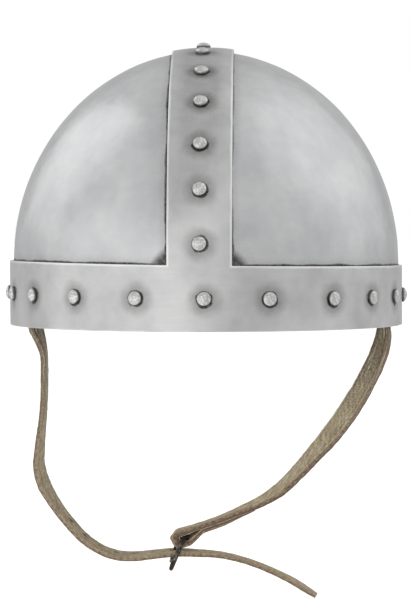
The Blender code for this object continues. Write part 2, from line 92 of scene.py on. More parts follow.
WALL_TOP = 0.18
PANEL_DISTANCE = 1.9
PANELS = (
    # name, direction, width, height, radiance
    ("panel_left", (-0.78, -0.55, 0.24), 1.0, 0.9, 5.4),
    ("panel_right", (0.70, -0.55, 0.45), 0.8, 0.9, 3.2),
)

back = Vector((sin(radians(LENS_AZIMUTH)) * cos(radians(LENS_ELEVATION)),
               -cos(radians(LENS_AZIMUTH)) * cos(radians(LENS_ELEVATION)),
               sin(radians(LENS_ELEVATION))))
lens = bpy.data.cameras.new("camera")
lens.lens = LENS_LENGTH
lens.clip_start, lens.clip_end = 0.1, 100.0


def new_object(name, data):
    """New object of the scene."""
    made = bpy.data.objects.new(name, data)
    bpy.context.scene.collection.objects.link(made)
    return made


camera = new_object("camera", lens)
look = (-back).to_track_quat("-Z", "Y").to_matrix()
turn = (Matrix.Rotation(radians(LENS_TURN_LEFT), 3, "Y")
        @ Matrix.Rotation(radians(-LENS_TURN_DOWN), 3, "X"))
camera.matrix_world = (Matrix.Translation(LENS_TARGET + back * LENS_DISTANCE)
                       @ (look @ turn).to_4x4())
bpy.context.scene.camera = camera
bpy.context.scene.view_settings.view_transform = "Standard"

world = bpy.data.worlds.new("tent")
world.use_nodes = True
bpy.context.scene.world = world
tent = world.node_tree
tent.nodes.clear()


def feed(node, inputs):
    """Feed a node's inputs with sockets or plain values."""
    for key, value in inputs.items():
        if isinstance(value, bpy.types.NodeSocket):
            node.id_data.links.new(value, node.inputs[key])
        else:
            node.inputs[key].default_value = value


def shader_node(kind, inputs, tree=None, **settings):
    """One fed shader node, made in the tree given or in that of the sockets that feed it."""
    tree = tree or next(value.id_data for value in inputs.values()
                        if isinstance(value, bpy.types.NodeSocket))
    made = tree.nodes.new("ShaderNode" + kind)
    for key, value in settings.items():
        setattr(made, key, value)
    feed(made, inputs)
    return made


def value_of(operation, *terms):
    """Result socket of one sum on sockets or plain values."""
    return shader_node("Math", dict(enumerate(terms)), operation=operation).outputs[0]


def split(vector):
    """X, Y and Z of a vector."""
    return shader_node("SeparateXYZ", {0: vector}).outputs


def vector_of(operation, first, second):
    """Results of one sum on two vectors."""
    return shader_node("VectorMath", {0: first, 1: second}, operation=operation).outputs


def plus(first, second):
    """Sum of two sockets or plain values."""
    return value_of("ADD", first, second)


def minus(first, second):
    """Difference of two sockets or plain values."""
    return value_of("SUBTRACT", first, second)


def times(first, second):
    """Product of two sockets or plain values."""
    return value_of("MULTIPLY", first, second)


def ramp(value, low, high, first=0.0, last=1.0, kind="LINEAR"):
    """The value carried from the span low to high over to the span first to last."""
    return shader_node("MapRange", {"Value": value, "From Min": low, "From Max": high,
                                    "To Min": first, "To Max": last},
                       interpolation_type=kind).outputs[0]


def soft_ramp(value, low, high, first=0.0, last=1.0):
    """The same, setting off and arriving softly."""
    return ramp(value, low, high, first, last, "SMOOTHSTEP")


def fade(distance, start, end, most=1.0):
    """The most up to the start distance, falling softly to 0 at the end distance."""
    return soft_ramp(distance, start, end, most, 0.0)


def tent_patch(direction, inner, outer, added):
    """Radiance added round one direction of the tent, up to the inner and to the outer angle."""
    facing = vector_of("DOT_PRODUCT", way, Vector(direction).normalized())["Value"]
    return soft_ramp(facing, cos(radians(outer)), cos(radians(inner)), 0.0, added)


way = shader_node("TexCoord", {}, tent).outputs["Generated"]
parts = split(way)
above = soft_ramp(parts["Z"], WALL_FOOT, WALL_TOP)
belt = fade(parts["Z"], BELT_FULL, BELT_ENDS)
glow = plus(TENT_GLOW, times(tent_patch(*LOW_PATCH), belt))
for patch in TENT_PATCHES:
    glow = plus(glow, tent_patch(*patch))
for side, starts, full, added, patch in TENT_WALLS:
    wall = times(soft_ramp(times(parts["X"], side), starts, full), above)
    glow = plus(glow, times(wall, plus(added, tent_patch(*patch))))
soft = shader_node("Background", {"Color": WHITE, "Strength": glow})
plain = shader_node("Background", {"Color": WHITE, "Strength": 1.0}, tent)
seen = shader_node("LightPath", {}, tent).outputs["Is Camera Ray"]
both = shader_node("MixShader", {0: seen, 1: soft.outputs[0], 2: plain.outputs[0]})
shader_node("OutputWorld", {"Surface": both.outputs[0]})

for name, direction, width, height, radiance in PANELS:
    lamp = bpy.data.lights.new(name, "AREA")
    lamp.shape = "RECTANGLE"
    lamp.size, lamp.size_y = width, height
    lamp.energy = radiance * pi * width * height
    panel = new_object(name, lamp)
    towards = Vector(direction).normalized()
    panel.location = LENS_TARGET + towards * PANEL_DISTANCE
    panel.rotation_euler = (-towards).to_track_quat("-Z", "Y").to_euler()
    panel.visible_camera = False
    panel.visible_glossy = False


def new_material(name):
    """New material and its shader."""
    material = bpy.data.materials.new(name)
    material.use_nodes = True
    return material, material.node_tree.nodes["Principled BSDF"]


floor_mesh = bpy.data.meshes.new("floor")
reach = FLOOR_SIZE / 2
floor_z = cad_low.z - FLOOR_DROP
floor_mesh.from_pydata([(-reach, -reach, floor_z), (reach, -reach, floor_z),
                        (reach, reach, floor_z), (-reach, reach, floor_z)], [], [(0, 1, 2, 3)])
floor_paint, shader = new_material("floor_paint")
feed(shader, {"Base Color": FLOOR_COLOUR, "Roughness": FLOOR_ROUGHNESS,
              "Emission Color": WHITE, "Emission Strength": FLOOR_GLOW})
floor_mesh.materials.append(floor_paint)
floor = new_object("floor", floor_mesh)
floor.visible_glossy = False
floor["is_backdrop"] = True


# The band frame: brow band and crest band cut from one iron sheet 1.6 mm thick, bent round
# the skull and closed at the back, its edges filed and its face satin polished. Dark wax is
# left in the seams and round every rivet, each ring set below and to the right of its head as
# a painted shadow. Painted shade darkens the crest's middle towards the top, and the filed
# edges carry a painted highlight.
HALF_WIDTH = 0.1000
HALF_LENGTH = 0.1175
SKULL_RISE = 0.1096
WALL_HEIGHT = 0.0320
RIM_Z = -0.1360
SPRING_Z = RIM_Z + WALL_HEIGHT
SHEET = 0.0016
SHEET_GAP = 0.00035
BAND_IN = -SHEET_GAP
BAND_OUT = -SHEET_GAP - SHEET
BROW_TILT = -0.012
CREST_OFFSET = -0.0013
CREST_WIDTH = 0.0316
BROW_RIVETS = (0.6, 18.6, 38.8, 55.1, 71.0, 87.5, 104.5, 124.0, 143.5, 162.0,
               180.0, 198.0, 216.5, 235.5, 254.0, 270.5, 287.0, 303.4, 322.1, 341.6)
CREST_RIVETS = (5.4, 19.2, 31.8, 45.8, 59.6, 74.0, 88.1, 106.0, 120.4, 134.2, 148.2, 160.8,
                174.6)
HEAD_RADIUS = 0.00375
CREST_COLUMNS = 14
CREST_ROWS = 150
SIDE_STEPS = 150
BROW_ROWS = 12
BAND_EDGE = 0.00045
EDGE_SEGMENTS = 3
EDGE_ANGLE = radians(50)
# Forged waves: height, length, seed; and the finer waves in them: how much shorter, share
BAND_WAVES = (0.00022, 0.024, 3.0)
FINER_WAVES = (2.3, 0.5)
BAND_BRIGHT = (0.72, 0.72, 0.715, 1.0)
BAND_DULL = (0.54, 0.54, 0.54, 1.0)
# Bright colour of the painted highlight on the filed edges, and of the rivets' struck specks
BARE_IRON_AND_HIGHLIGHT = (0.92, 0.92, 0.915, 1.0)
# Dark colour of the wax, and of the painted shade round rivets, on the crest and by the seams
WAX_AND_SHADE_DARK = (0.055, 0.053, 0.050, 1.0)
# Cloudy patterns: noise scale, detail, read as lowest, read as highest, lowest, highest
LARGE_CLOUDS = (42.0, 2.0, 0.34, 0.66)
SMALL_CLOUDS = (135.0, 3.0, 0.30, 0.70)
BRUSH_CLOUDS = (1.0, 3.0, 0.30, 0.70)
WAX_AND_SHADE_SPECKS = (700.0, 3.0, 0.25, 0.60, 0.78, 1.0)
CLOUD_ROUGHNESS = 0.55
LARGE_SHARE = 0.62
MARK_SHARE = 0.20
BUMP_SHARES = (0.80, 0.10)
IRON_BUMPS = (0.30, 0.00018)
IRON_ROUGHNESS = (0.17, 0.28)
WAX_AND_SHADE_ROUGHNESS = 0.25
# Painted shadow: the dark ring round each rivet is shifted below and to the right of its head
SHADOW_SHIFT = (-0.0003, 0.0, 0.0005)
# Ragged edges: noise scale, detail, most
RIVET_HALO_RAGGED = (190.0, 2.0, 0.0030)
EDGE_RAGGED = (90.0, 3.0, 0.0012)
RING_REACH = 0.0012
HALO_REACH = 0.0068
HALO_SHARE = 0.42
# Painted shade along the crest band's middle, deeper towards the top: across it, then up
SHADE_ACROSS = (0.0010, 0.0100)
SHADE_UP = (-0.075, -0.015, 0.0, 0.26)
BROW_BLEND = 0.0120
CREST_BRUSHING = (1500.0, 40.0, 40.0)
BROW_BRUSHING = (40.0, 40.0, 1100.0)
# Painted highlight on the filed edges: span and most, then where it starts at the rim
EDGE_HIGHLIGHT_SPAN = (0.0011, 0.0020, 0.9)
RIM_HIGHLIGHT_FROM = RIM_Z - 0.0007


def skull_point(x, angle, inset):
    """Point over the crown at side x and angle from the front, inset from the skull's skin."""
    reach = sqrt(max(0.0, 1 - (x / (HALF_WIDTH - inset)) ** 2))
    return Vector((x, -(HALF_LENGTH - inset) * reach * cos(angle),
                   SPRING_Z + (SKULL_RISE - inset) * reach * sin(angle)))


def brow_point(angle, share, inset):
    """Point round the brow at a share of the brow band's height."""
    x = (HALF_WIDTH - inset) * sin(angle)
    rise = (WALL_HEIGHT + BROW_TILT * x) * share
    return Vector((x, -(HALF_LENGTH - inset) * cos(angle), RIM_Z + rise))


def skull_normal(point):
    """Outward direction of the skull at a point of its wall or its dome."""
    up = max(0.0, point.z - SPRING_Z) / (SKULL_RISE + SHEET) ** 2
    return Vector((point.x / (HALF_WIDTH + SHEET) ** 2,
                   point.y / (HALF_LENGTH + SHEET) ** 2, up)).normalized()


def hammered(point, wave, length, seed):
    """The point pushed in or out by the slight waves that hand forging leaves."""
    place = point / length + Vector((seed, -seed, seed * 2))
    finer, share = FINER_WAVES
    push = noise.noise(place) + share * noise.noise(place * finer)
    return point + skull_normal(point) * (push * wave)


def mesh_piece(name, vertices, faces, *materials):
    """A smooth piece from vertices and faces."""
    mesh = bpy.data.meshes.new(name)
    mesh.from_pydata([tuple(v) for v in vertices], [], faces)
    mesh.validate()
    for material in materials:
        mesh.materials.append(material)
    mesh.shade_smooth()
    return new_object(name, mesh)


def file_edges(piece, width):
    """Round the piece's sharp edges over, as a file does."""
    bevel = piece.modifiers.new("filed_edges", "BEVEL")
    bevel.width = width
    bevel.segments = EDGE_SEGMENTS
    bevel.limit_method = "ANGLE"
    bevel.angle_limit = EDGE_ANGLE
    bevel.harden_normals = True


def blotches(place, scale, detail):
    """Soft cloudy pattern, about 0.5 in the middle."""
    return shader_node("TexNoise", {"Vector": place, "Scale": scale, "Detail": detail,
                                    "Roughness": CLOUD_ROUGHNESS}).outputs["Fac"]


def clouds(place, scale, detail, *spans):
    """Cloudy pattern carried over to the span 0 to 1, or to one of its own."""
    return ramp(blotches(place, scale, detail), *spans)


def ragged(place, scale, detail, most):
    """Uneven distance of up to the most."""
    return times(blotches(place, scale, detail), most)


def distance_to(place, spot):
    """Distance of a place from one spot."""
    return vector_of("DISTANCE", place, spot)["Value"]


def blend_colour(share, first, second):
    """Mix of two colours by a share."""
    return shader_node("Mix", {0: share, 6: first, 7: second}, data_type="RGBA").outputs[2]


def bumps(height, strength, distance):
    """Small bumps for a shader's normal."""
    return shader_node("Bump", {"Height": height, "Strength": strength,
                                "Distance": distance}).outputs[0]


def place_on(shader):
    """Place on the piece that the shader covers."""
    return shader_node("TexCoord", {}, shader.id_data).outputs["Object"]


def brushed(place, stretch):
    """Fine brushing marks, squeezed along the axes with a large stretch."""
    return clouds(vector_of("MULTIPLY", place, stretch)[0], *BRUSH_CLOUDS)


def satin_iron(name, bright, dull, wax_and_shade, marks, wear_and_highlight=None):
    """Satin polished iron, with shares of dark wax and painted shade, of brushing marks and,
    if given, of bare iron and painted highlight, each from its function.
    """
    material, shader = new_material(name)
    place = place_on(shader)
    large, small = clouds(place, *LARGE_CLOUDS), clouds(place, *SMALL_CLOUDS)
    lines = marks(place)
    # Dark wax and painted shade, broken up by specks
    dark = times(wax_and_shade(place), clouds(place, *WAX_AND_SHADE_SPECKS))
    shine = plus(times(large, LARGE_SHARE), times(small, 1 - LARGE_SHARE))
    polished = blend_colour(shine, dull, bright)
    polished = blend_colour(times(lines, MARK_SHARE), polished, dull)
    if wear_and_highlight:
        polished = blend_colour(wear_and_highlight(place), polished, BARE_IRON_AND_HIGHLIGHT)
    rough = plus(ramp(small, 0.0, 1.0, *IRON_ROUGHNESS), times(dark, WAX_AND_SHADE_ROUGHNESS))
    waves = plus(times(small, BUMP_SHARES[0]), times(lines, BUMP_SHARES[1]))
    feed(shader, {"Base Color": blend_colour(dark, polished, WAX_AND_SHADE_DARK), "Roughness": rough,
                  "Metallic": 1.0, "Normal": bumps(waves, *IRON_BUMPS)})
    return material


brow_places = [brow_point(radians(degree), 0.5, BAND_OUT) for degree in BROW_RIVETS]
crest_places = [skull_point(CREST_OFFSET, radians(degree), BAND_OUT) for degree in CREST_RIVETS]


def crest_and_brow(place):
    """Distances inside the crest band's edges and below the brow band's top, and x, y and z."""
    parts = split(place)
    off_middle = value_of("ABSOLUTE", minus(parts["X"], CREST_OFFSET))
    brow_top = plus(SPRING_Z, times(parts["X"], BROW_TILT))
    return minus(CREST_WIDTH / 2, off_middle), minus(brow_top, parts["Z"]), parts


def band_wax_and_shade(place):
    """Dark wax round each rivet's head, set below and to the right of it as a painted shadow,
    and painted shade along the crest's middle, deeper towards the top.
    """
    lower = vector_of("ADD", place, SHADOW_SHIFT)[0]
    nearest = distance_to(lower, brow_places[0])
    for spot in (brow_places + crest_places)[1:]:
        nearest = value_of("MINIMUM", nearest, distance_to(lower, spot))
    nearest = plus(nearest, minus(ragged(place, *RIVET_HALO_RAGGED), RIVET_HALO_RAGGED[-1] / 2))
    ring = fade(nearest, HEAD_RADIUS, HEAD_RADIUS + RING_REACH)
    halo = fade(nearest, HEAD_RADIUS, HEAD_RADIUS + HALO_REACH, HALO_SHARE)
    in_crest, _, parts = crest_and_brow(place)
    shade = times(soft_ramp(in_crest, *SHADE_ACROSS), ramp(parts["Z"], *SHADE_UP))
    return value_of("MAXIMUM", ring, plus(halo, shade))


def band_marks(place):
    """Brushing marks along the crest band, and round the brow band below it."""
    _, below_brow, _ = crest_and_brow(place)
    on_brow = fade(times(below_brow, -1.0), 0.0, BROW_BLEND)
    return shader_node("Mix", {0: on_brow, 2: brushed(place, CREST_BRUSHING),
                               3: brushed(place, BROW_BRUSHING)}).outputs[0]


def edge_highlights(place):
    """Painted highlight along the filed edges of both bands and along the rim."""
    in_crest, below_brow, parts = crest_and_brow(place)
    to_edge = value_of("MAXIMUM", in_crest, below_brow)
    nearest = value_of("MINIMUM", to_edge, minus(parts["Z"], RIM_HIGHLIGHT_FROM))
    return fade(plus(nearest, ragged(place, *EDGE_RAGGED)), *EDGE_HIGHLIGHT_SPAN)


columns = [CREST_OFFSET + CREST_WIDTH * (i / CREST_COLUMNS - 0.5)
           for i in range(CREST_COLUMNS + 1)]
band_vertices = []


def band_vertex(point):
    """Number of a new vertex of the band, slightly hammered."""
    band_vertices.append(hammered(point, *BAND_WAVES))
    return len(band_vertices) - 1


def brow_ring(share, inset):
    """Vertex numbers round the brow: front columns, right side, back columns, left side."""
    half = HALF_WIDTH - inset
    left, right = asin(columns[0] / half), asin(columns[-1] / half)
    angles = [asin(x / half) for x in columns]
    angles += [right + (pi - 2 * right) * i / SIDE_STEPS for i in range(1, SIDE_STEPS)]
    angles += [pi - asin(x / half) for x in reversed(columns)]
    angles += [pi - left + (pi + 2 * left) * i / SIDE_STEPS for i in range(1, SIDE_STEPS)]
    return [band_vertex(brow_point(angle, share, inset)) for angle in angles]


outside = [brow_ring(r / BROW_ROWS, BAND_OUT) for r in range(BROW_ROWS + 1)]
inside = [brow_ring(r / BROW_ROWS, BAND_IN) for r in range(BROW_ROWS + 1)]
for row in outside + inside:
    row.append(row[0])
back_start = CREST_COLUMNS + SIDE_STEPS


def crest_grid(top, inset):
    """Rows over the crown between the front and back columns of the brow's top edge."""
    rows = [top[:CREST_COLUMNS + 1]]
    for r in range(1, CREST_ROWS):
        rows.append([band_vertex(skull_point(x, pi * r / CREST_ROWS, inset)) for x in columns])
    rows.append(top[back_start:back_start + CREST_COLUMNS + 1][::-1])
    return rows


def grid_faces(rows):
    """Faces between neighbouring rows of vertex numbers."""
    return [(upper[i], upper[i + 1], lower[i + 1], lower[i])
            for upper, lower in zip(rows, rows[1:]) for i in range(len(upper) - 1)]


over, under = crest_grid(outside[-1], BAND_OUT), crest_grid(inside[-1], BAND_IN)
band_faces = grid_faces([inside[0], outside[0]])
for outer, inner in ((outside, inside), (over, under)):
    band_faces += grid_faces(outer) + grid_faces([row[::-1] for row in inner])
for span in (slice(CREST_COLUMNS, back_start + 1), slice(back_start + CREST_COLUMNS, None)):
    band_faces += grid_faces([outside[-1][span], inside[-1][span]])
band_faces += grid_faces([[inner[0], outer[0]] for outer, inner in zip(over, under)])
band_faces += grid_faces([[outer[-1], inner[-1]] for outer, inner in zip(over, under)])

band = mesh_piece("iron_band_frame", band_vertices, band_faces,
                  satin_iron("satin_band_iron", BAND_BRIGHT, BAND_DULL, band_wax_and_shade, band_marks,
                             edge_highlights))
file_edges(band, BAND_EDGE)
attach(band, "root")
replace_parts(band, "band_frame")


# The two skull plates: sheet iron raised into the halves of a dome over a short upright
# wall. They lap under the crest band, the right plate stepped in under the left one, and
# are a little brighter than the bands, with dark wax along the seams, painted shade on the
# plates beside them and deeper painted shade in the corners where crest and brow meet.
PLATE_FOOT = 0.0030
LAP_REACH = 0.0100
LAP_DROP = SHEET + SHEET_GAP
JOGGLE_START = CREST_OFFSET + 0.0112
JOGGLE_END = CREST_OFFSET + 0.0134
PLATE_ROWS = 60
PLATE_COLUMNS = 110
LAP_STEPS = 8
JOGGLE_STEPS = 6
WALL_STEPS = 4
PLATE_WAVES = (0.00022, 0.034, 7.0)
PLATE_BRIGHT = (0.76, 0.762, 0.762, 1.0)
PLATE_DULL = (0.605, 0.615, 0.628, 1.0)
INSIDE_BRIGHT = (0.34, 0.335, 0.33, 1.0)
INSIDE_DULL = (0.20, 0.197, 0.19, 1.0)
PLATE_EDGE = 0.0003
PLATE_BRUSHING = (260.0, 260.0, 420.0)
SEAM_RAGGED = (60.0, 3.0, 0.0022)
SEAM_LINE = (0.0015, 0.0028)
# Painted shade beside the seams: starts, ends and share; then the corners' deeper painted shade
SEAM_SHADES = ((0.0010, 0.0060, 0.16), (0.0010, 0.0200, 0.11))
CORNER_SHADE = (0.0052, 0.0135, 0.97)
RUBBED_HEIGHTS = (SPRING_Z + 0.004, SPRING_Z + 0.030)
RUBBED_NARROWER = 0.0004
RUBBED_LIGHTER = 0.30


def seam_wax_and_shade(place):
    """Dark wax along the bands' edges, rubbed away at the right, with painted shade on the
    plate beside it and the deepest painted shade in the corners.
    """
    in_crest, below_brow, parts = crest_and_brow(place)
    off_crest, off_brow = times(in_crest, -1.0), times(below_brow, -1.0)
    uneven = ragged(place, *SEAM_RAGGED)
    nearest = plus(value_of("MINIMUM", off_crest, off_brow), uneven)
    rubbed = times(ramp(parts["Z"], *RUBBED_HEIGHTS), value_of("GREATER_THAN", parts["X"], 0.0))
    line = fade(plus(nearest, times(rubbed, RUBBED_NARROWER)), *SEAM_LINE)
    line = times(line, minus(1.0, times(rubbed, RUBBED_LIGHTER)))
    shade = plus(*(fade(nearest, *row) for row in SEAM_SHADES))
    corner = fade(plus(plus(off_crest, off_brow), uneven), *CORNER_SHADE)
    return value_of("MAXIMUM", line, value_of("MAXIMUM", shade, corner))


def plate_marks(place):
    """Faint polishing marks on the plates."""
    return brushed(place, PLATE_BRUSHING)


def no_wax(place):
    """No dark wax at all."""
    return 0.0


plate_iron = satin_iron("satin_plate_iron", PLATE_BRIGHT, PLATE_DULL, seam_wax_and_shade, plate_marks)
inside_iron = satin_iron("unpolished_plate_iron", INSIDE_BRIGHT, INSIDE_DULL, no_wax,
                         plate_marks)


def ease(value, start, end):
    """0 up to the start, rising softly to 1 at the end."""
    share = min(max((value - start) / (end - start), 0.0), 1.0)
    return share * share * (3 - 2 * share)


def plate_step(x, side):
    """How far a plate is stepped inwards at side x."""
    return LAP_DROP * (1 - ease(x, JOGGLE_START, JOGGLE_END)) if side > 0 else 0.0


def skull_plate(name, side):
    """Half of the skull from the lap edge to the ear and down to the foot of the wall."""
    edge = CREST_OFFSET - side * LAP_REACH
    sides = [edge]
    if side > 0:
        sides += [edge + (JOGGLE_START - edge) * i / LAP_STEPS for i in range(1, LAP_STEPS + 1)]
        sides += [JOGGLE_START + (JOGGLE_END - JOGGLE_START) * i / JOGGLE_STEPS
                  for i in range(1, JOGGLE_STEPS + 1)]
    first = asin(sides[-1] / HALF_WIDTH)
    sides += [HALF_WIDTH * sin(first + (side * pi / 2 - first) * i / PLATE_ROWS)
              for i in range(1, PLATE_ROWS)]
    vertices, faces = [], []

    def add(point):
        vertices.append(hammered(point, *PLATE_WAVES))
        return len(vertices) - 1

    def skin(depth):
        """Rows over the crown, the ear point, the spring line and rows down the wall."""
        rows = []
        for x in sides:
            inset = depth + plate_step(x, side)
            across = x * (HALF_WIDTH - inset) / HALF_WIDTH
            rows.append([add(skull_point(across, pi * c / PLATE_COLUMNS, inset))
                         for c in range(PLATE_COLUMNS + 1)])
        ear = add(Vector((side * (HALF_WIDTH - depth), 0, SPRING_Z)))
        walls = [[row[0] for row in rows] + [ear] + [row[-1] for row in reversed(rows)]]
        for k in range(1, WALL_STEPS + 1):
            drop = Vector((0, 0, (PLATE_FOOT - WALL_HEIGHT) * k / WALL_STEPS))
            walls.append([add(vertices[i] + drop) for i in walls[0]])
        return rows, ear, walls

    outer_count = 0
    rims = []
    for turn_over, (rows, ear, walls) in enumerate((skin(0.0), skin(SHEET))):
        flip = (side > 0) == bool(turn_over)
        shape = grid_faces(rows)
        shape += [(rows[-1][c], rows[-1][c + 1], ear) for c in range(PLATE_COLUMNS)]
        shape += grid_faces(walls)
        faces += [face if flip else face[::-1] for face in shape]
        outer_count = outer_count or len(faces)
        rims.append([wall[0] for wall in walls[:0:-1]] + rows[0]
                    + [wall[-1] for wall in walls[1:]] + walls[-1][-2::-1])
    skin_count = len(faces)
    faces += [face if side > 0 else face[::-1] for face in grid_faces(rims)]
    piece = mesh_piece(name, vertices, faces, plate_iron, inside_iron)
    for polygon in piece.data.polygons:
        if outer_count <= polygon.index < skin_count:
            polygon.material_index = 1
    file_edges(piece, PLATE_EDGE)
    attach(piece, "root")
    return piece


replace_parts(skull_plate("iron_skull_plate_left", -1), "skull_plate_left")
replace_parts(skull_plate("iron_skull_plate_right", 1), "skull_plate_right")


# The rivets: iron, with low domed heads struck by hand, so no two are quite alike. Each
# passes through the band and the plates and is hammered flat inside; the two behind the
# middle of the brow also hold the ends of the strap.
HEAD_HEIGHT = 0.0026
SHANK_RADIUS = 0.0020
BUTTON_RADIUS = 0.0031
BUTTON_HEIGHT = 0.0012
BUTTON_SEAT = 0.0006
HEAD_SINKS = 0.00015
STRAP_THICKNESS = 0.0028
STRAP_SEAT = 0.0009
RIVET_SIDES = 32
HEAD_RINGS = 12
STRAP_RIVETS = (7, 15)
RIVET_BRIGHT = (0.69, 0.69, 0.685, 1.0)
RIVET_DULL = (0.54, 0.54, 0.535, 1.0)
HEAD_FULLNESS = 0.86
HEAD_FOOT = 0.99
BUTTON_WALL = 0.6
BUTTON_TOP = 0.8
SHARP_ANGLE = radians(60)
HEAD_DENT = 0.075
HEAD_TALL = 0.10
HEAD_TIP = radians(3)
# Facets: height, length
PEEN_FACETS = ((0.000066, 0.0026), (0.000030, 0.0012))
FOOT_RAGGED = (600.0, 2.0, 0.0008)
FOOT_WAX = (0.0002, 0.0012, 0.9)
RIVET_BRUSHING = (900.0, 900.0, 900.0)
# Struck specks on the heads, painted bright as glints off the hammer's facets as well
STRUCK_SPECKS_AND_GLINTS = (820.0, 2.0, 0.47, 0.63, 0.0, 0.85)


def foot_wax(place):
    """Dark wax round the foot of a rivet's head."""
    return fade(minus(split(place)["Z"], ragged(place, *FOOT_RAGGED)), *FOOT_WAX)


def rivet_marks(place):
    """Fine marks of the setting hammer."""
    return brushed(place, RIVET_BRUSHING)


def struck_specks_and_glints(place):
    """Bright specks of iron that the setting hammer left on a rivet's head, painted brighter
    as glints off its facets.
    """
    return clouds(place, *STRUCK_SPECKS_AND_GLINTS)


rivet_iron = satin_iron("satin_rivet_iron", RIVET_BRIGHT, RIVET_DULL, foot_wax, rivet_marks,
                        struck_specks_and_glints)


def circle(sides):
    """Cosine and sine of evenly spaced angles."""
    return [(cos(2 * pi * s / sides), sin(2 * pi * s / sides)) for s in range(sides)]


def rivet(name, spot, grip, seed, node):
    """Rivet with its head on the band at a spot and its button behind the grip."""
    profile = []
    for k in range(1, HEAD_RINGS + 1):
        lean = pi / 2 * k / HEAD_RINGS
        profile.append((HEAD_RADIUS * sin(lean), HEAD_HEIGHT * (cos(lean) ** HEAD_FULLNESS)))
    foot = -grip - BUTTON_SEAT
    profile += [(HEAD_RADIUS * HEAD_FOOT, -HEAD_SINKS), (SHANK_RADIUS, -HEAD_SINKS),
                (SHANK_RADIUS, foot), (BUTTON_RADIUS, foot),
                (BUTTON_RADIUS, foot - BUTTON_HEIGHT * BUTTON_WALL),
                (BUTTON_RADIUS * BUTTON_TOP, foot - BUTTON_HEIGHT)]
    vertices = [Vector((0, 0, HEAD_HEIGHT))]
    for radius, height in profile:
        for across, up in circle(RIVET_SIDES):
            dent = 1 + HEAD_DENT * noise.noise(Vector((across * 0.8, up * 0.8, seed)))
            vertex = Vector((radius * dent * across, radius * dent * up, height))
            if height > 0:
                tall = 1 + HEAD_TALL * noise.noise(Vector((across, up, seed + 9.0)))
                flat = Vector((vertex.x, vertex.y, 0))
                vertex.z = height * tall + sum(
                    deep * noise.noise(flat / long + Vector((seed, 0, seed)))
                    for deep, long in PEEN_FACETS)
            vertices.append(vertex)
    vertices.append(Vector((0, 0, foot - BUTTON_HEIGHT)))
    ribs = [[1 + r * RIVET_SIDES + s % RIVET_SIDES for r in range(len(profile))]
            for s in range(RIVET_SIDES + 1)]
    faces = grid_faces(ribs)
    for rib, beside in zip(ribs, ribs[1:]):
        faces += [(0, rib[0], beside[0]), (rib[-1], len(vertices) - 1, beside[-1])]
    piece = mesh_piece(name, vertices, faces, rivet_iron)
    piece.data.set_sharp_from_angle(angle=SHARP_ANGLE)
    upright = Vector((0, 0, 1)).rotation_difference(skull_normal(spot)).to_matrix().to_4x4()
    tip = Matrix.Rotation(HEAD_TIP * noise.noise(Vector((seed, 1.7, 0.3))), 4, "X")
    piece.matrix_world = Matrix.Translation(spot) @ upright @ tip @ Matrix.Rotation(seed, 4, "Z")
    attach(piece, "root")
    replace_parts(piece, node)


grip_plate = 2 * SHEET + SHEET_GAP
for number, spot in enumerate(brow_places, start=1):
    grip = grip_plate
    if abs(spot.x) < LAP_REACH:
        grip += LAP_DROP
    if number in STRAP_RIVETS:
        grip += STRAP_SEAT + STRAP_THICKNESS
    rivet(f"brow_stud_{number:02d}", spot, grip, 0.37 * number, f"brow_rivet_{number:02d}")
for number, spot in enumerate(crest_places, start=1):
    rivet(f"crest_stud_{number:02d}", spot, grip_plate + LAP_DROP, 20 + 0.53 * number,
          f"crest_rivet_{number:02d}")


# The tail half of the chin strap: two plies of brown-grey suede sewn together along both
# edges, riveted inside the rim at the wearer's right. It has seven punched holes and ends
# in a cut point. Its colour carries painted shadow under the rim, painted shade in the seam
# grooves and a painted highlight along the far edge.
STRAP_WIDTH = 0.0137
STRAP_TOP = 0.0270
STRAP_LEAVES_WALL = 0.0070
STRAP_DEPTH = 0.0300
LEFT_STRAP_RIVET = 254.0
TAIL_ROUTE = (
    # x, y, height over the rim, roll of the inner face towards the front
    (-0.0922, 0.0313, 0.0000, 16.0),
    (-0.0914, 0.0312, -0.0035, 21.5),
    (-0.0896, 0.0310, -0.0088, 14.0),
    (-0.0877, 0.0308, -0.0152, 5.0),
    (-0.0869, 0.0305, -0.0311, 2.5),
    (-0.0876, 0.0302, -0.0490, 3.0),
    (-0.0893, 0.0300, -0.0661, 8.5),
    (-0.0897, 0.0300, -0.0775, 13.0),
    (-0.0877, 0.0300, -0.0852, 16.0),
    (-0.0803, 0.0300, -0.0985, 10.5),
    (-0.0735, 0.0300, -0.1074, 8.5),
    (-0.0650, 0.0300, -0.1163, 7.0),
    (-0.0565, 0.0300, -0.1219, 5.5),
    (-0.0480, 0.0300, -0.1248, 5.0),
    (-0.0395, 0.0300, -0.1254, 4.5),
    (-0.0300, 0.0300, -0.1246, 4.5),
    (-0.0180, 0.0300, -0.1234, 3.0),
    (-0.0056, 0.0300, -0.1237, 0.5),
    (0.0072, 0.0300, -0.1247, -2.0),
    (0.0199, 0.0300, -0.1276, -2.5),
    (0.0326, 0.0300, -0.1323, -2.0),
    (0.0454, 0.0300, -0.1385, -0.5),
    (0.0581, 0.0300, -0.1464, 1.0),
)
TAIL_HOLES = (-0.0739, -0.0665, -0.0580, -0.0487, -0.0387, -0.0288, -0.0180)
HOLE_RADIUS = 0.0017
HOLE_SIDES = 20
HOLE_BEND = 1e-5
POINT_LENGTH = 0.0090
POINT_WIDTH = 0.0030
ROW_STEP = 0.0008
ROUTE_PIECES = 40
CORNER = 0.00060
CORNER_MOST = 0.6
CORNER_CUT = 0.3
EDGE_SWELL = 0.2
FACE_STEPS = 10
SEAM_INSET = 0.0019
SEAM_DEPTH = 0.00035
SEAM_HALF = 0.0006
STITCH_PITCH = 0.0029
STITCH_LENGTH = 0.0023
STITCH_RADIUS = 0.00030
STITCH_RISE = -0.00008
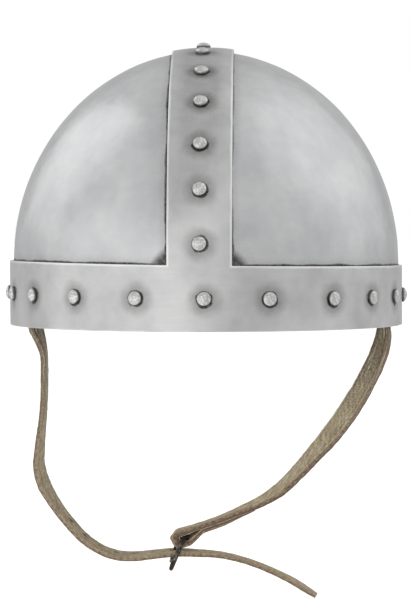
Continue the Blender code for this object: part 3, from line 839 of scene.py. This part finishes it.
STITCH_WANDER = 0.00012
STITCH_SIDES = 6
STITCH_BOW = 1.2
# Rings of a stitch: place along half of it, size
STITCH_RINGS = ((-1.0, 0.25), (-0.72, 0.80), (0.0, 1.0), (0.72, 0.80), (1.0, 0.25))
STITCHED_FROM = 0.030
TAIL_UNSEWN = 0.014
NAP_WAVE = 0.00020
NAP_SIDEWAYS = 0.3
# Nap: noise scale, share
NAP = ((330, 1.0), (800, 0.5))
# Extra leather: the most, its span below the rim and its span off the middle
TAIL_EXTRA = (0.0003, (0.060, 0.090), (0.022, 0.045))
SUEDE_LIGHT = (0.78, 0.675, 0.455, 1.0)
SUEDE_MIDDLE = (0.60, 0.495, 0.310, 1.0)
SUEDE_DARK = (0.165, 0.118, 0.070, 1.0)
CUT_BROWN = (0.125, 0.074, 0.043, 1.0)
CUT_PALE = (0.43, 0.345, 0.240, 1.0)
# Pale colour of rubbed creases, and of the painted highlight along the far edge
PALE_CREASE_AND_HIGHLIGHT = (0.78, 0.72, 0.58, 1.0)
# Dark colour of the painted shade in the seam grooves and under the rim, and of soil round the
# holes
GROOVE_DARK = (0.085, 0.060, 0.040, 1.0)
THREAD = (0.50, 0.44, 0.34, 1.0)
# Cloudy patterns: noise scale, detail, read as lowest, read as highest, lowest, highest
SUEDE_CLOUDS = (110.0, 2.0, 0.30, 0.70)
SUEDE_GRAIN = (780.0, 2.5, 0.36, 0.64)
THREAD_SOIL = (400.0, 3.0, 0.35, 0.70, 0.0, 0.5)
LAID_CLOUDS = (1.0, 2.5, 0.34, 0.66)
# Patterns laid along the strap: a noise scale for each of the two distances
STROKES = (440.0, 95.0)
CUT_CORE = (4.0, 520.0)
CREASES = (620.0, 50.0)
STROKE_SHARE = 0.62
GRAIN_SHARE = 0.42
CORE_SHARES = (0.45, 0.75)
CORE_SPAN = (0.10, 0.62)
CREASE_SPAN = (0.62, 1.0)
# Painted shade in the seam grooves: its span off the seam line, then its share
GROOVE_SPAN = (0.0002, 0.0008)
GROOVE_SHARE = 0.20
# Painted highlight along the far edge's rounded arris
FAR_EDGE_HIGHLIGHT_FADE = (SEAM_INSET - 0.0009, SEAM_INSET - 0.0003, 0.45)
HOLE_SOIL = (HOLE_RADIUS, HOLE_RADIUS + 0.0007, 0.60)
# Under the rim, where all but the creases are painted shadow: the most, and how far down it
# reaches
GROOVE_AT_RIM = (0.70, 0.060)
SHADE_AT_RIM = (0.60, 0.012)
CREASES_AT_RIM = (0.90, 0.075)
THREAD_SHADE_AT_RIM = (0.45, 0.050)
SUEDE_BUMPS = (0.9, 0.0005)
SUEDE_FINISH = {"Roughness": 0.95, "Sheen Weight": 0.08, "Sheen Roughness": 0.6}
THREAD_ROUGHNESS = 0.8
STROKE_RISE = -0.7
GRAIN_RISE = -0.8
CORE_RISE = 0.8


def near_rim(place, most, reach):
    """The most under the rim, falling softly to 0 where the strap hangs free."""
    return soft_ramp(split(place)["Z"], RIM_Z - reach, RIM_Z, 0.0, most)


def laid_noise(first, second, scales):
    """Cloudy pattern, 0 to 1, over two distances with a scale for each."""
    spot = shader_node("CombineXYZ", {0: times(first, scales[0]), 1: times(second, scales[1])})
    return clouds(spot.outputs[0], *LAID_CLOUDS)


def strap_suede(name, soiled_spots, brown_share, handled, rim_shade):
    """Sewn suede: brushed faces with painted shade in the seam groove, a painted highlight along
    the far edge and painted shadow under the rim, and cut edges with a brown core.

    The places map gives 0 to 1 across one face, 1 to 2 over a cut edge, 2 to 3 across the
    other face and 3 to 4 over the other edge, and the distance along the strap.
    """
    material, shader = new_material(name)
    place = place_on(shader)
    laid = split(shader_node("UVMap", {}, shader.id_data, uv_map="places").outputs[0])
    round_it, along = laid["X"], laid["Y"]
    share = value_of("FRACT", round_it)
    crossing = times(share, STRAP_WIDTH)
    to_far = minus(STRAP_WIDTH, crossing)
    cut = value_of("GREATER_THAN", value_of("MODULO", round_it, 2.0), 1.0)
    on_face = minus(1.0, cut)

    strokes = laid_noise(plus(crossing, along), minus(crossing, along), STROKES)
    fine = clouds(place, *SUEDE_GRAIN)
    colour = blend_colour(clouds(place, *SUEDE_CLOUDS), SUEDE_MIDDLE, SUEDE_LIGHT)
    colour = blend_colour(times(strokes, STROKE_SHARE), colour, SUEDE_DARK)
    colour = blend_colour(times(fine, GRAIN_SHARE), colour, SUEDE_DARK)

    core = laid_noise(share, along, CUT_CORE)
    second = value_of("GREATER_THAN", round_it, 2.0)
    inward = value_of("ABSOLUTE", plus(minus(second, 1.0), share))
    pale = plus(times(core, CORE_SHARES[0]), times(inward, CORE_SHARES[1]))
    pale = ramp(pale, *(limit + brown_share for limit in CORE_SPAN))
    edge = blend_colour(pale, CUT_BROWN, CUT_PALE)
    edge = blend_colour(times(fine, GRAIN_SHARE), edge, SUEDE_DARK)
    colour = blend_colour(cut, colour, edge)

    to_edge = value_of("MINIMUM", crossing, to_far)
    off_seam = value_of("ABSOLUTE", minus(to_edge, SEAM_INSET))
    groove = times(fade(off_seam, *GROOVE_SPAN), on_face)
    far_edge_highlight = times(fade(to_far, *FAR_EDGE_HIGHLIGHT_FADE), on_face)
    deep = times(groove, plus(GROOVE_SHARE, near_rim(place, *GROOVE_AT_RIM)))
    creases = ramp(laid_noise(crossing, along, CREASES), *CREASE_SPAN)
    rubbed = times(creases, near_rim(place, *CREASES_AT_RIM))
    rubbed = times(rubbed, minus(1.0, groove))
    # Painted highlight along the far edge, painted shade in the seam groove, painted shadow under
    # the rim, then rubbed creases and soil round the holes
    layers = [(far_edge_highlight, PALE_CREASE_AND_HIGHLIGHT), (deep, GROOVE_DARK),
              (plus(near_rim(place, *rim_shade), handled), SUEDE_DARK),
              (near_rim(place, *SHADE_AT_RIM), GROOVE_DARK), (rubbed, PALE_CREASE_AND_HIGHLIGHT)]
    layers += [(fade(distance_to(place, spot), *HOLE_SOIL), GROOVE_DARK)
               for spot in soiled_spots]
    for amount, tint in layers:
        colour = blend_colour(amount, colour, tint)
    rise = plus(times(strokes, STROKE_RISE), times(fine, GRAIN_RISE))
    rise = plus(rise, times(core, times(cut, CORE_RISE)))
    feed(shader, {**SUEDE_FINISH, "Base Color": colour, "Normal": bumps(rise, *SUEDE_BUMPS)})
    return material


thread, shader = new_material("strap_thread")
place = place_on(shader)
# Thread darker under the rim as painted shadow, and soiled in clouds
soiled_and_shaded = plus(near_rim(place, *THREAD_SHADE_AT_RIM), clouds(place, *THREAD_SOIL))
feed(shader, {"Base Color": blend_colour(soiled_and_shaded, THREAD, SUEDE_DARK),
              "Roughness": THREAD_ROUGHNESS})


def smooth_route(rows, step):
    """Evenly spaced rows read from a smooth curve through the given rows."""
    rows = [Vector(row) for row in rows]
    spans = [(b.xyz - a.xyz).length for a, b in zip(rows, rows[1:])]
    slopes = [(rows[1] - rows[0]) / spans[0]]
    for i in range(1, len(rows) - 1):
        before = (rows[i] - rows[i - 1]) / spans[i - 1]
        after = (rows[i + 1] - rows[i]) / spans[i]
        slopes.append((before * spans[i] + after * spans[i - 1]) / (spans[i - 1] + spans[i]))
    slopes.append((rows[-1] - rows[-2]) / spans[-1])
    fine = [rows[0]]
    for i, span in enumerate(spans):
        for k in range(1, ROUTE_PIECES + 1):
            t = k / ROUTE_PIECES
            fine.append((2 * t**3 - 3 * t**2 + 1) * rows[i]
                        + (t**3 - 2 * t**2 + t) * span * slopes[i]
                        + (3 * t**2 - 2 * t**3) * rows[i + 1]
                        + (t**3 - t**2) * span * slopes[i + 1])
    reached = [0.0]
    for a, b in zip(fine, fine[1:]):
        reached.append(reached[-1] + (b.xyz - a.xyz).length)
    count = round(reached[-1] / step)
    even, k = [], 0
    for i in range(count + 1):
        target = reached[-1] * i / count
        while k < len(fine) - 2 and reached[k + 1] < target:
            k += 1
        share = (target - reached[k]) / (reached[k + 1] - reached[k])
        even.append(fine[k].lerp(fine[k + 1], share))
    return even


def whole_route(degree, table):
    """Route through a table from the strap's top, flat inside the wall behind its rivet."""
    seat = brow_point(radians(degree), 0.0, SHEET + STRAP_SEAT + STRAP_THICKNESS / 2)
    normal = skull_normal(seat)
    roll = degrees(atan2(abs(normal.y), abs(normal.x)))
    rows = [(seat.x, seat.y, RIM_Z + height, roll) for height in (STRAP_TOP, STRAP_LEAVES_WALL)]
    return rows + [(x, y, RIM_Z + height, turn_in) for x, y, height, turn_in in table]


def strap_frames(rows, side):
    """Centre, width direction and inner face's direction at each row; side -1 is at -X."""
    frames = []
    for i, row in enumerate(rows):
        before, after = rows[max(i - 1, 0)].xyz, rows[min(i + 1, len(rows) - 1)].xyz
        along = (after - before).normalized()
        depth = Vector((0, 1, 0))
        depth = (depth - along * depth.dot(along)).normalized()
        face = depth.cross(along) * side
        roll = radians(row[3])
        frames.append((row.xyz, depth * cos(roll) + face * sin(roll),
                       face * cos(roll) - depth * sin(roll)))
    return frames


def strap_section(width, thickness):
    """Outline as (across, through, place): rounded corners and seams sunk in both faces."""
    half, deep = width / 2, thickness / 2
    corner = min(CORNER, deep * CORNER_MOST)
    seam = half - SEAM_INSET
    stops = [-(half - corner), -seam - SEAM_HALF, -seam, -seam + SEAM_HALF]
    stops += [(seam - SEAM_HALF) * (2 * i / FACE_STEPS - 1) for i in range(1, FACE_STEPS)]
    stops += [seam - SEAM_HALF, seam, seam + SEAM_HALF, half - corner]
    if half < 2 * SEAM_INSET:
        stops = [(half - corner) * (2 * i / (len(stops) - 1) - 1) for i in range(len(stops))]
    sunk = SEAM_DEPTH * min(1.0, thickness / STRAP_THICKNESS)
    face = [(stop, deep - (sunk if abs(abs(stop) - seam) < 1e-6 else 0.0), (stop + half) / width)
            for stop in stops]
    cut = corner * CORNER_CUT
    edge = [(half - cut, deep - cut, 1.0), (half, deep - corner, 1.25),
            (half + corner * EDGE_SWELL, 0.0, 1.5), (half, corner - deep, 1.75),
            (half - cut, cut - deep, 2.0)]
    return face + edge + [(-a, -t, place + 2) for a, t, place in face + edge]


def thickened(section, side, most, below, off):
    """The section with up to the most extra leather outside, low down and off the middle."""
    centre, across, face, width, thickness, push = section
    extra = most * ease(RIM_Z - centre.z, *below) * ease(side * centre.x, *off)
    return centre - face * (extra / 2), across, face, width, thickness + extra, push


def runs_along(sections):
    """Distance reached along the strap at each section."""
    runs = [0.0]
    for before, after in zip(sections, sections[1:]):
        runs.append(runs[-1] + (after[0] - before[0]).length)
    return runs


def strap_piece(name, sections, material):
    """Strap through sections: centre, across, face, width, thickness, push of the inner side."""
    vertices, faces, places = [], [], []
    for section, reached in zip(sections, runs_along(sections)):
        centre, across, face, width, thickness, push = section
        for a, t, place in strap_section(width, thickness):
            pushed = push * min(1.0, max(0.0, -t) * 2 / thickness)
            point = centre + across * a + face * t + pushed
            nap = sum(share * noise.noise(point * scale) for scale, share in NAP)
            away = (across * a * NAP_SIDEWAYS + face * t).normalized()
            vertices.append(point + away * (nap * NAP_WAVE))
            places.append((place, reached))
    count = len(strap_section(STRAP_WIDTH, STRAP_THICKNESS))
    corners = []
    for r in range(len(sections) - 1):
        for k in range(count):
            n = (k + 1) % count
            faces.append((r * count + k, r * count + n, (r + 1) * count + n, (r + 1) * count + k))
            last = 4.0 if n == 0 else places[r * count + n][0]
            here, there = places[r * count + k], places[(r + 1) * count + k][1]
            corners += [here, (last, here[1]), (last, there), (here[0], there)]
    for start in (0, (len(sections) - 1) * count):
        faces.append(tuple(range(start, start + count)))
        corners += [(1.5, places[start][1])] * count
    piece = mesh_piece(name, vertices, faces, material)
    layer = piece.data.uv_layers.new(name="places")
    for corner, place in zip(layer.data, corners):
        corner.uv = place
    for end in (-2, -1):
        piece.data.polygons[len(faces) + end].use_smooth = False
    outward(piece)
    return piece


def outward(piece):
    """Turn the piece's faces outwards."""
    shape = bmesh.new()
    shape.from_mesh(piece.data)
    bmesh.ops.recalc_face_normals(shape, faces=shape.faces)
    shape.to_mesh(piece.data)
    shape.free()


def punch(piece, cutter):
    """Cut the cutter's shape out of the piece for good, and take the cutter away."""
    modifier = piece.modifiers.new("punch", "BOOLEAN")
    modifier.operation = "DIFFERENCE"
    modifier.solver = "EXACT"
    modifier.object = cutter
    done = piece.evaluated_get(bpy.context.evaluated_depsgraph_get())
    mesh = bpy.data.meshes.new_from_object(done)
    piece.modifiers.clear()
    piece.data = mesh
    bpy.data.objects.remove(cutter)


def tube_faces(first, rings, sides, closed=False):
    """Faces between the rings of a tube's vertices, and over both ends if it isn't closed."""
    rows = [[first + ring * sides + s % sides for s in range(sides + 1)] for ring in range(rings)]
    if closed:
        return grid_faces(rows + rows[:1])
    return grid_faces(rows) + [tuple(row[:-1]) for row in (rows[0], rows[-1])]


def round_bar(name, path, radius, sides, closed, material):
    """Round bar along points of one plane; radius is a number or one for each point."""
    count = len(path)
    steady = (path[1] - path[0]).cross(path[(count + 1) // 2] - path[0]).normalized()
    vertices = []
    for i, point in enumerate(path):
        before = path[i - 1] if closed or i else point
        after = path[(i + 1) % count] if closed or i < count - 1 else point
        out = (after - before).normalized().cross(steady)
        size = radius if isinstance(radius, float) else radius[i]
        vertices += [point + (out * c + steady * s) * size for c, s in circle(sides)]
    piece = mesh_piece(name, vertices, tube_faces(0, count, sides, closed), material)
    outward(piece)
    return piece


def stitches(name, sections, first, last):
    """Rows of stitches sunk along both edges of both faces, from one distance to another."""
    runs = runs_along(sections)
    vertices, faces = [], []
    k = 0
    for number in range(int((min(last, runs[-1]) - first) / STITCH_PITCH)):
        target = first + number * STITCH_PITCH
        while k < len(runs) - 2 and runs[k + 1] < target:
            k += 1
        centre, across, face, width, thickness, _ = sections[k]
        along = (sections[k + 1][0] - centre).normalized()
        for row in (-1, 1):
            for side in (-1, 1):
                wander = noise.noise(Vector((number * 0.9, row, side))) * STITCH_WANDER
                middle = (centre + across * (row * (width / 2 - SEAM_INSET) + wander)
                          + face * (side * (thickness / 2 + STITCH_RISE - STITCH_RADIUS)))
                faces += tube_faces(len(vertices), len(STITCH_RINGS), STITCH_SIDES)
                for reach, size in STITCH_RINGS:
                    sunk = face * (-side * STITCH_RADIUS * STITCH_BOW * reach * reach)
                    ring = middle + along * (reach * STITCH_LENGTH / 2) + sunk
                    vertices += [ring + (across * c + face * s) * (STITCH_RADIUS * size)
                                 for c, s in circle(STITCH_SIDES)]
    piece = mesh_piece(name, vertices, faces, thread)
    outward(piece)
    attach(piece, "root")
    return piece


route = smooth_route(whole_route(LEFT_STRAP_RIVET, TAIL_ROUTE), ROW_STEP)
frames = strap_frames(route, -1)
tail_sections = []
for centre, across, face in frames:
    rest = (centre - frames[-1][0]).length
    width = min(STRAP_WIDTH, POINT_WIDTH + (STRAP_WIDTH - POINT_WIDTH) * rest / POINT_LENGTH)
    section = (centre, across, face, width, STRAP_THICKNESS, Vector())
    tail_sections.append(thickened(section, -1, *TAIL_EXTRA))
holes = []
lower = frames[len(frames) // 4:]
for x in TAIL_HOLES:
    for (start, _, face), (end, _, _) in zip(lower, lower[1:]):
        if start.x <= x < end.x:
            spot = start.lerp(end, (x - start.x) / (end.x - start.x))
            holes.append((spot, face * STRAP_THICKNESS))
tail_suede = strap_suede("strap_suede_tail_side", [spot for spot, _ in holes],
                         brown_share=0.20, handled=0.06, rim_shade=(0.42, 0.110))
tail = strap_piece("suede_strap_tail_side", tail_sections, tail_suede)
for spot, reach in holes:
    bend = Vector((0, 1, 0)).cross(reach).normalized() * HOLE_BEND
    path = [spot - reach, spot + bend, spot + reach]
    punch(tail, round_bar("hole", path, HOLE_RADIUS, HOLE_SIDES, False, tail_suede))
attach(tail, "root")
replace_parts(tail, "strap_tail_side")
tail_length = runs_along(tail_sections)[-1]
stitches("strap_stitches_tail_side", tail_sections, STITCHED_FROM, tail_length - TAIL_UNSEWN)


# The buckle half of the chin strap: the same sewn suede, riveted inside the rim at the
# wearer's left. It turns loosely round the buckle's back bar, runs back under itself and is
# sewn down, its end pared thin. A slot at the turn lets the prong through.
RIGHT_STRAP_RIVET = 104.5
BUCKLE_ROUTE = (
    (0.0937, 0.0287, 0.0000, 15.5),
    (0.0940, 0.0288, -0.0040, 21.0),
    (0.0916, 0.0290, -0.0154, 30.5),
    (0.0854, 0.0294, -0.0295, 34.0),
    (0.0755, 0.0298, -0.0466, 37.0),
    (0.0653, 0.0300, -0.0606, 33.0),
    (0.0565, 0.0300, -0.0706, 25.0),
    (0.0470, 0.0300, -0.0812, 19.0),
    (0.0375, 0.0300, -0.0902, 15.0),
    (0.0284, 0.0300, -0.0960, 10.0),
    (0.0157, 0.0300, -0.1017, 3.0),
    (0.0030, 0.0300, -0.1068, 0.0),
    (-0.0056, 0.0300, -0.1097, 0.0),
)
BACK_BAR = Vector((-0.0123, STRAP_DEPTH, RIM_Z - 0.1151))
FRONT_BAR = Vector((-0.0191, STRAP_DEPTH, RIM_Z - 0.1313))
WIRE_RADIUS = 0.00115
FOLD_SLOPE = radians(18.0)
FOLD_SLACK = 0.0019
FOLD_GAP = 0.0009
FOLD_RADIUS = WIRE_RADIUS + FOLD_GAP + STRAP_THICKNESS / 2
FOLD_STEPS = 24
FOLD_LENGTH = 0.0430
CLOSING_START = 0.0035
CLOSING_END = 0.0140
RETURN_THICKNESS = 0.0023
RETURN_GAP = 0.00005
PLY_PITCH = STRAP_THICKNESS + RETURN_GAP
TILT_START = 0.0026
TILT_END = 0.0060
BAR_GAP = 0.0001
SKIVE_LENGTH = 0.0180
SKIVED_THICKNESS = 0.0003
SLOT_HALF_WIDTH = 0.0015
SLOT_REACH = 0.0042
SLOT_PAST = 0.001
BUCKLE_EXTRA = (0.0007, (0.002, 0.014), (0.020, 0.042))
PUSH_SPAN = (0.002, 0.010)
RETURN_PUSH_SPAN = (0.0, 0.003)
TURN_PUSH = 0.6
TILT_SHARE = 0.80
BUCKLE_UNSEWN = 0.004

along = Vector((-cos(FOLD_SLOPE), 0, -sin(FOLD_SLOPE)))
up = Vector((-sin(FOLD_SLOPE), 0, cos(FOLD_SLOPE)))
turn_centre = BACK_BAR + along * FOLD_SLACK
meet = turn_centre + up * FOLD_RADIUS
route = whole_route(RIGHT_STRAP_RIVET, BUCKLE_ROUTE) + [(*meet, 0.0)]
frames = strap_frames(smooth_route(route, ROW_STEP), 1)[:-1]
snug = FOLD_RADIUS - STRAP_THICKNESS / 2 - WIRE_RADIUS - BAR_GAP
buckle_sections = []
for centre, across, face in frames:
    push = face * (-snug * (1 - ease((centre - meet).length, *PUSH_SPAN)))
    section = (centre, across, face, STRAP_WIDTH, STRAP_THICKNESS, push)
    buckle_sections.append(thickened(section, 1, *BUCKLE_EXTRA))
single_length = runs_along(frames)[-1]
for i in range(FOLD_STEPS + 1):
    angle = pi * i / FOLD_STEPS
    out = up * cos(angle) + along * sin(angle)
    push = -along * (FOLD_SLACK * TURN_PUSH * sin(angle)) - out * snug
    buckle_sections.append((turn_centre + out * FOLD_RADIUS, Vector((0, 1, 0)), out,
                            STRAP_WIDTH, STRAP_THICKNESS, push))
for centre, across, face in reversed(frames):
    run = (centre - meet).length
    if run > FOLD_LENGTH:
        break
    closed = min(max((run - CLOSING_START) / (CLOSING_END - CLOSING_START), 0.0), 1.0)
    opening = (1 + cos(pi * closed)) / 2
    pitch = PLY_PITCH + (2 * FOLD_RADIUS - PLY_PITCH) * opening
    thickness = STRAP_THICKNESS + (RETURN_THICKNESS - STRAP_THICKNESS) * closed
    thickness += (SKIVED_THICKNESS - thickness) * max(0.0, 1 - (FOLD_LENGTH - run) / SKIVE_LENGTH)
    drop = pitch - (STRAP_THICKNESS - thickness) / 2
    gap = max(0.0, pitch - PLY_PITCH) * TILT_SHARE * ease(run, TILT_START, TILT_END)
    lean = asin(gap / STRAP_WIDTH)
    centre = centre - face * (drop - gap / 2)
    buckle_sections.append((centre, across * cos(lean) + face * sin(lean),
                            across * sin(lean) - face * cos(lean), STRAP_WIDTH, thickness,
                            face * (snug * (1 - ease(run, *RETURN_PUSH_SPAN)))))
buckled_suede = strap_suede("strap_suede_buckle_side", [],
                            brown_share=0.42, handled=0.0, rim_shade=(0.84, 0.052))
buckled = strap_piece("suede_strap_buckle_side", buckle_sections, buckled_suede)
past = FOLD_RADIUS + STRAP_THICKNESS / 2 + SLOT_PAST
low = Vector((turn_centre.x - past, STRAP_DEPTH - SLOT_HALF_WIDTH, turn_centre.z - past))
high = Vector((BACK_BAR.x + SLOT_REACH, STRAP_DEPTH + SLOT_HALF_WIDTH, turn_centre.z + past))
corners = [Vector((x, y, z)) for x in (low.x, high.x) for y in (low.y, high.y)
           for z in (low.z, high.z)]
slot = mesh_piece("slot", corners, [(0, 1, 3, 2), (4, 6, 7, 5), (0, 4, 5, 1), (2, 3, 7, 6),
                                    (0, 2, 6, 4), (1, 5, 7, 3)], buckled_suede)
outward(slot)
punch(buckled, slot)
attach(buckled, "root")
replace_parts(buckled, "strap_buckle_side")
stitches("strap_stitches_buckle_side", buckle_sections[:len(frames)], STITCHED_FROM,
         single_length - BUCKLE_UNSEWN)


# The buckle: a rounded rectangle of dark round iron, and a prong of thinner wire hooked
# round its back bar, through the strap's last hole and onto the front bar. Both are
# blackened, with a little bare iron where they rub and a painted highlight at the prong's
# tip.
FRAME_HALF_WIDTH = 0.0084
FRAME_CORNER = 0.0022
PRONG_RADIUS = 0.0009
PRONG_STEP = 0.0005
HOOK_GAP = 0.00002
PRONG_HOOK = WIRE_RADIUS + HOOK_GAP + PRONG_RADIUS
PRONG_ROUTE = (
    # x, height over the rim
    (-0.0156, -0.1127), (-0.0179, -0.1140), (-0.0189, -0.1157), (-0.0181, -0.1175),
    (-0.0170, -0.1193), (-0.0177, -0.1229), (-0.0187, -0.1261), (-0.0199, -0.1287),
)
HOOK_START = 185
HOOK_TURN = 270
HOOK_STEPS = 24
CORNER_STEPS = 8
TIP_ROWS = 4
TIP_SIZE = 0.45
BLACKENED = (0.050, 0.039, 0.032, 1.0)
RUBBED_IRON_AND_HIGHLIGHT = (0.24, 0.225, 0.205, 1.0)
WORN_CLOUDS = (500.0, 4.0, 0.52, 0.66)
# Painted highlight at the prong's tip: its reach
TIP_HIGHLIGHT = (0.0014, 0.0026)
WORN_AND_HIGHLIGHT_ROUGHNESS = (0.55, 0.35)
PIT_CLOUDS = (1500.0, 3.0)
PITS = (0.4, 0.0002)
BLACK_METALLIC = 0.85
FRAME_SIDES = 20
PRONG_SIDES = 16

black_iron, shader = new_material("blackened_iron")
place = place_on(shader)
prong_tip = (PRONG_ROUTE[-1][0], STRAP_DEPTH, RIM_Z + PRONG_ROUTE[-1][1])
# Rubbed iron in clouds, and a painted highlight at the prong's tip
worn_and_highlight = value_of("MAXIMUM", clouds(place, *WORN_CLOUDS),
                fade(distance_to(place, prong_tip), *TIP_HIGHLIGHT))
feed(shader, {"Base Color": blend_colour(worn_and_highlight, BLACKENED, RUBBED_IRON_AND_HIGHLIGHT), "Metallic": BLACK_METALLIC,
              "Roughness": ramp(worn_and_highlight, 0.0, 1.0, *WORN_AND_HIGHLIGHT_ROUGHNESS),
              "Normal": bumps(blotches(place, *PIT_CLOUDS), *PITS)})

middle, half = (BACK_BAR + FRONT_BAR) / 2, (FRONT_BAR - BACK_BAR).length / 2
along, across = (FRONT_BAR - BACK_BAR).normalized(), Vector((0, 1, 0))
frame_path = []
for quarter, (a, b) in enumerate(((1, 1), (-1, 1), (-1, -1), (1, -1))):
    corner = (middle + across * a * (FRAME_HALF_WIDTH - FRAME_CORNER)
              + along * b * (half - FRAME_CORNER))
    for i in range(CORNER_STEPS + 1):
        angle = pi / 2 * (quarter + i / CORNER_STEPS)
        frame_path.append(corner + (across * cos(angle) + along * sin(angle)) * FRAME_CORNER)
buckle = round_bar("iron_buckle_frame", frame_path, WIRE_RADIUS, FRAME_SIDES, True,
                   black_iron)
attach(buckle, "root")
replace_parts(buckle, "buckle_frame")

hook = []
for i in range(HOOK_STEPS + 1):
    angle = radians(HOOK_START + HOOK_TURN * i / HOOK_STEPS)
    hook.append(BACK_BAR + Vector((cos(angle), 0, sin(angle))) * PRONG_HOOK)
reach_rows = [(*hook[-1], 0.0)]
reach_rows += [(x, STRAP_DEPTH, RIM_Z + height, 0.0) for x, height in PRONG_ROUTE]
prong_path = hook[:-1] + [row.xyz for row in smooth_route(reach_rows, PRONG_STEP)]
sizes = [PRONG_RADIUS * min(1.0, TIP_SIZE + (1 - TIP_SIZE) * rows_left / TIP_ROWS)
         for rows_left in reversed(range(len(prong_path)))]
prong = round_bar("iron_buckle_prong", prong_path, sizes, PRONG_SIDES, False, black_iron)
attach(prong, "root")
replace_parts(prong, "buckle_prong")


low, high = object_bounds()
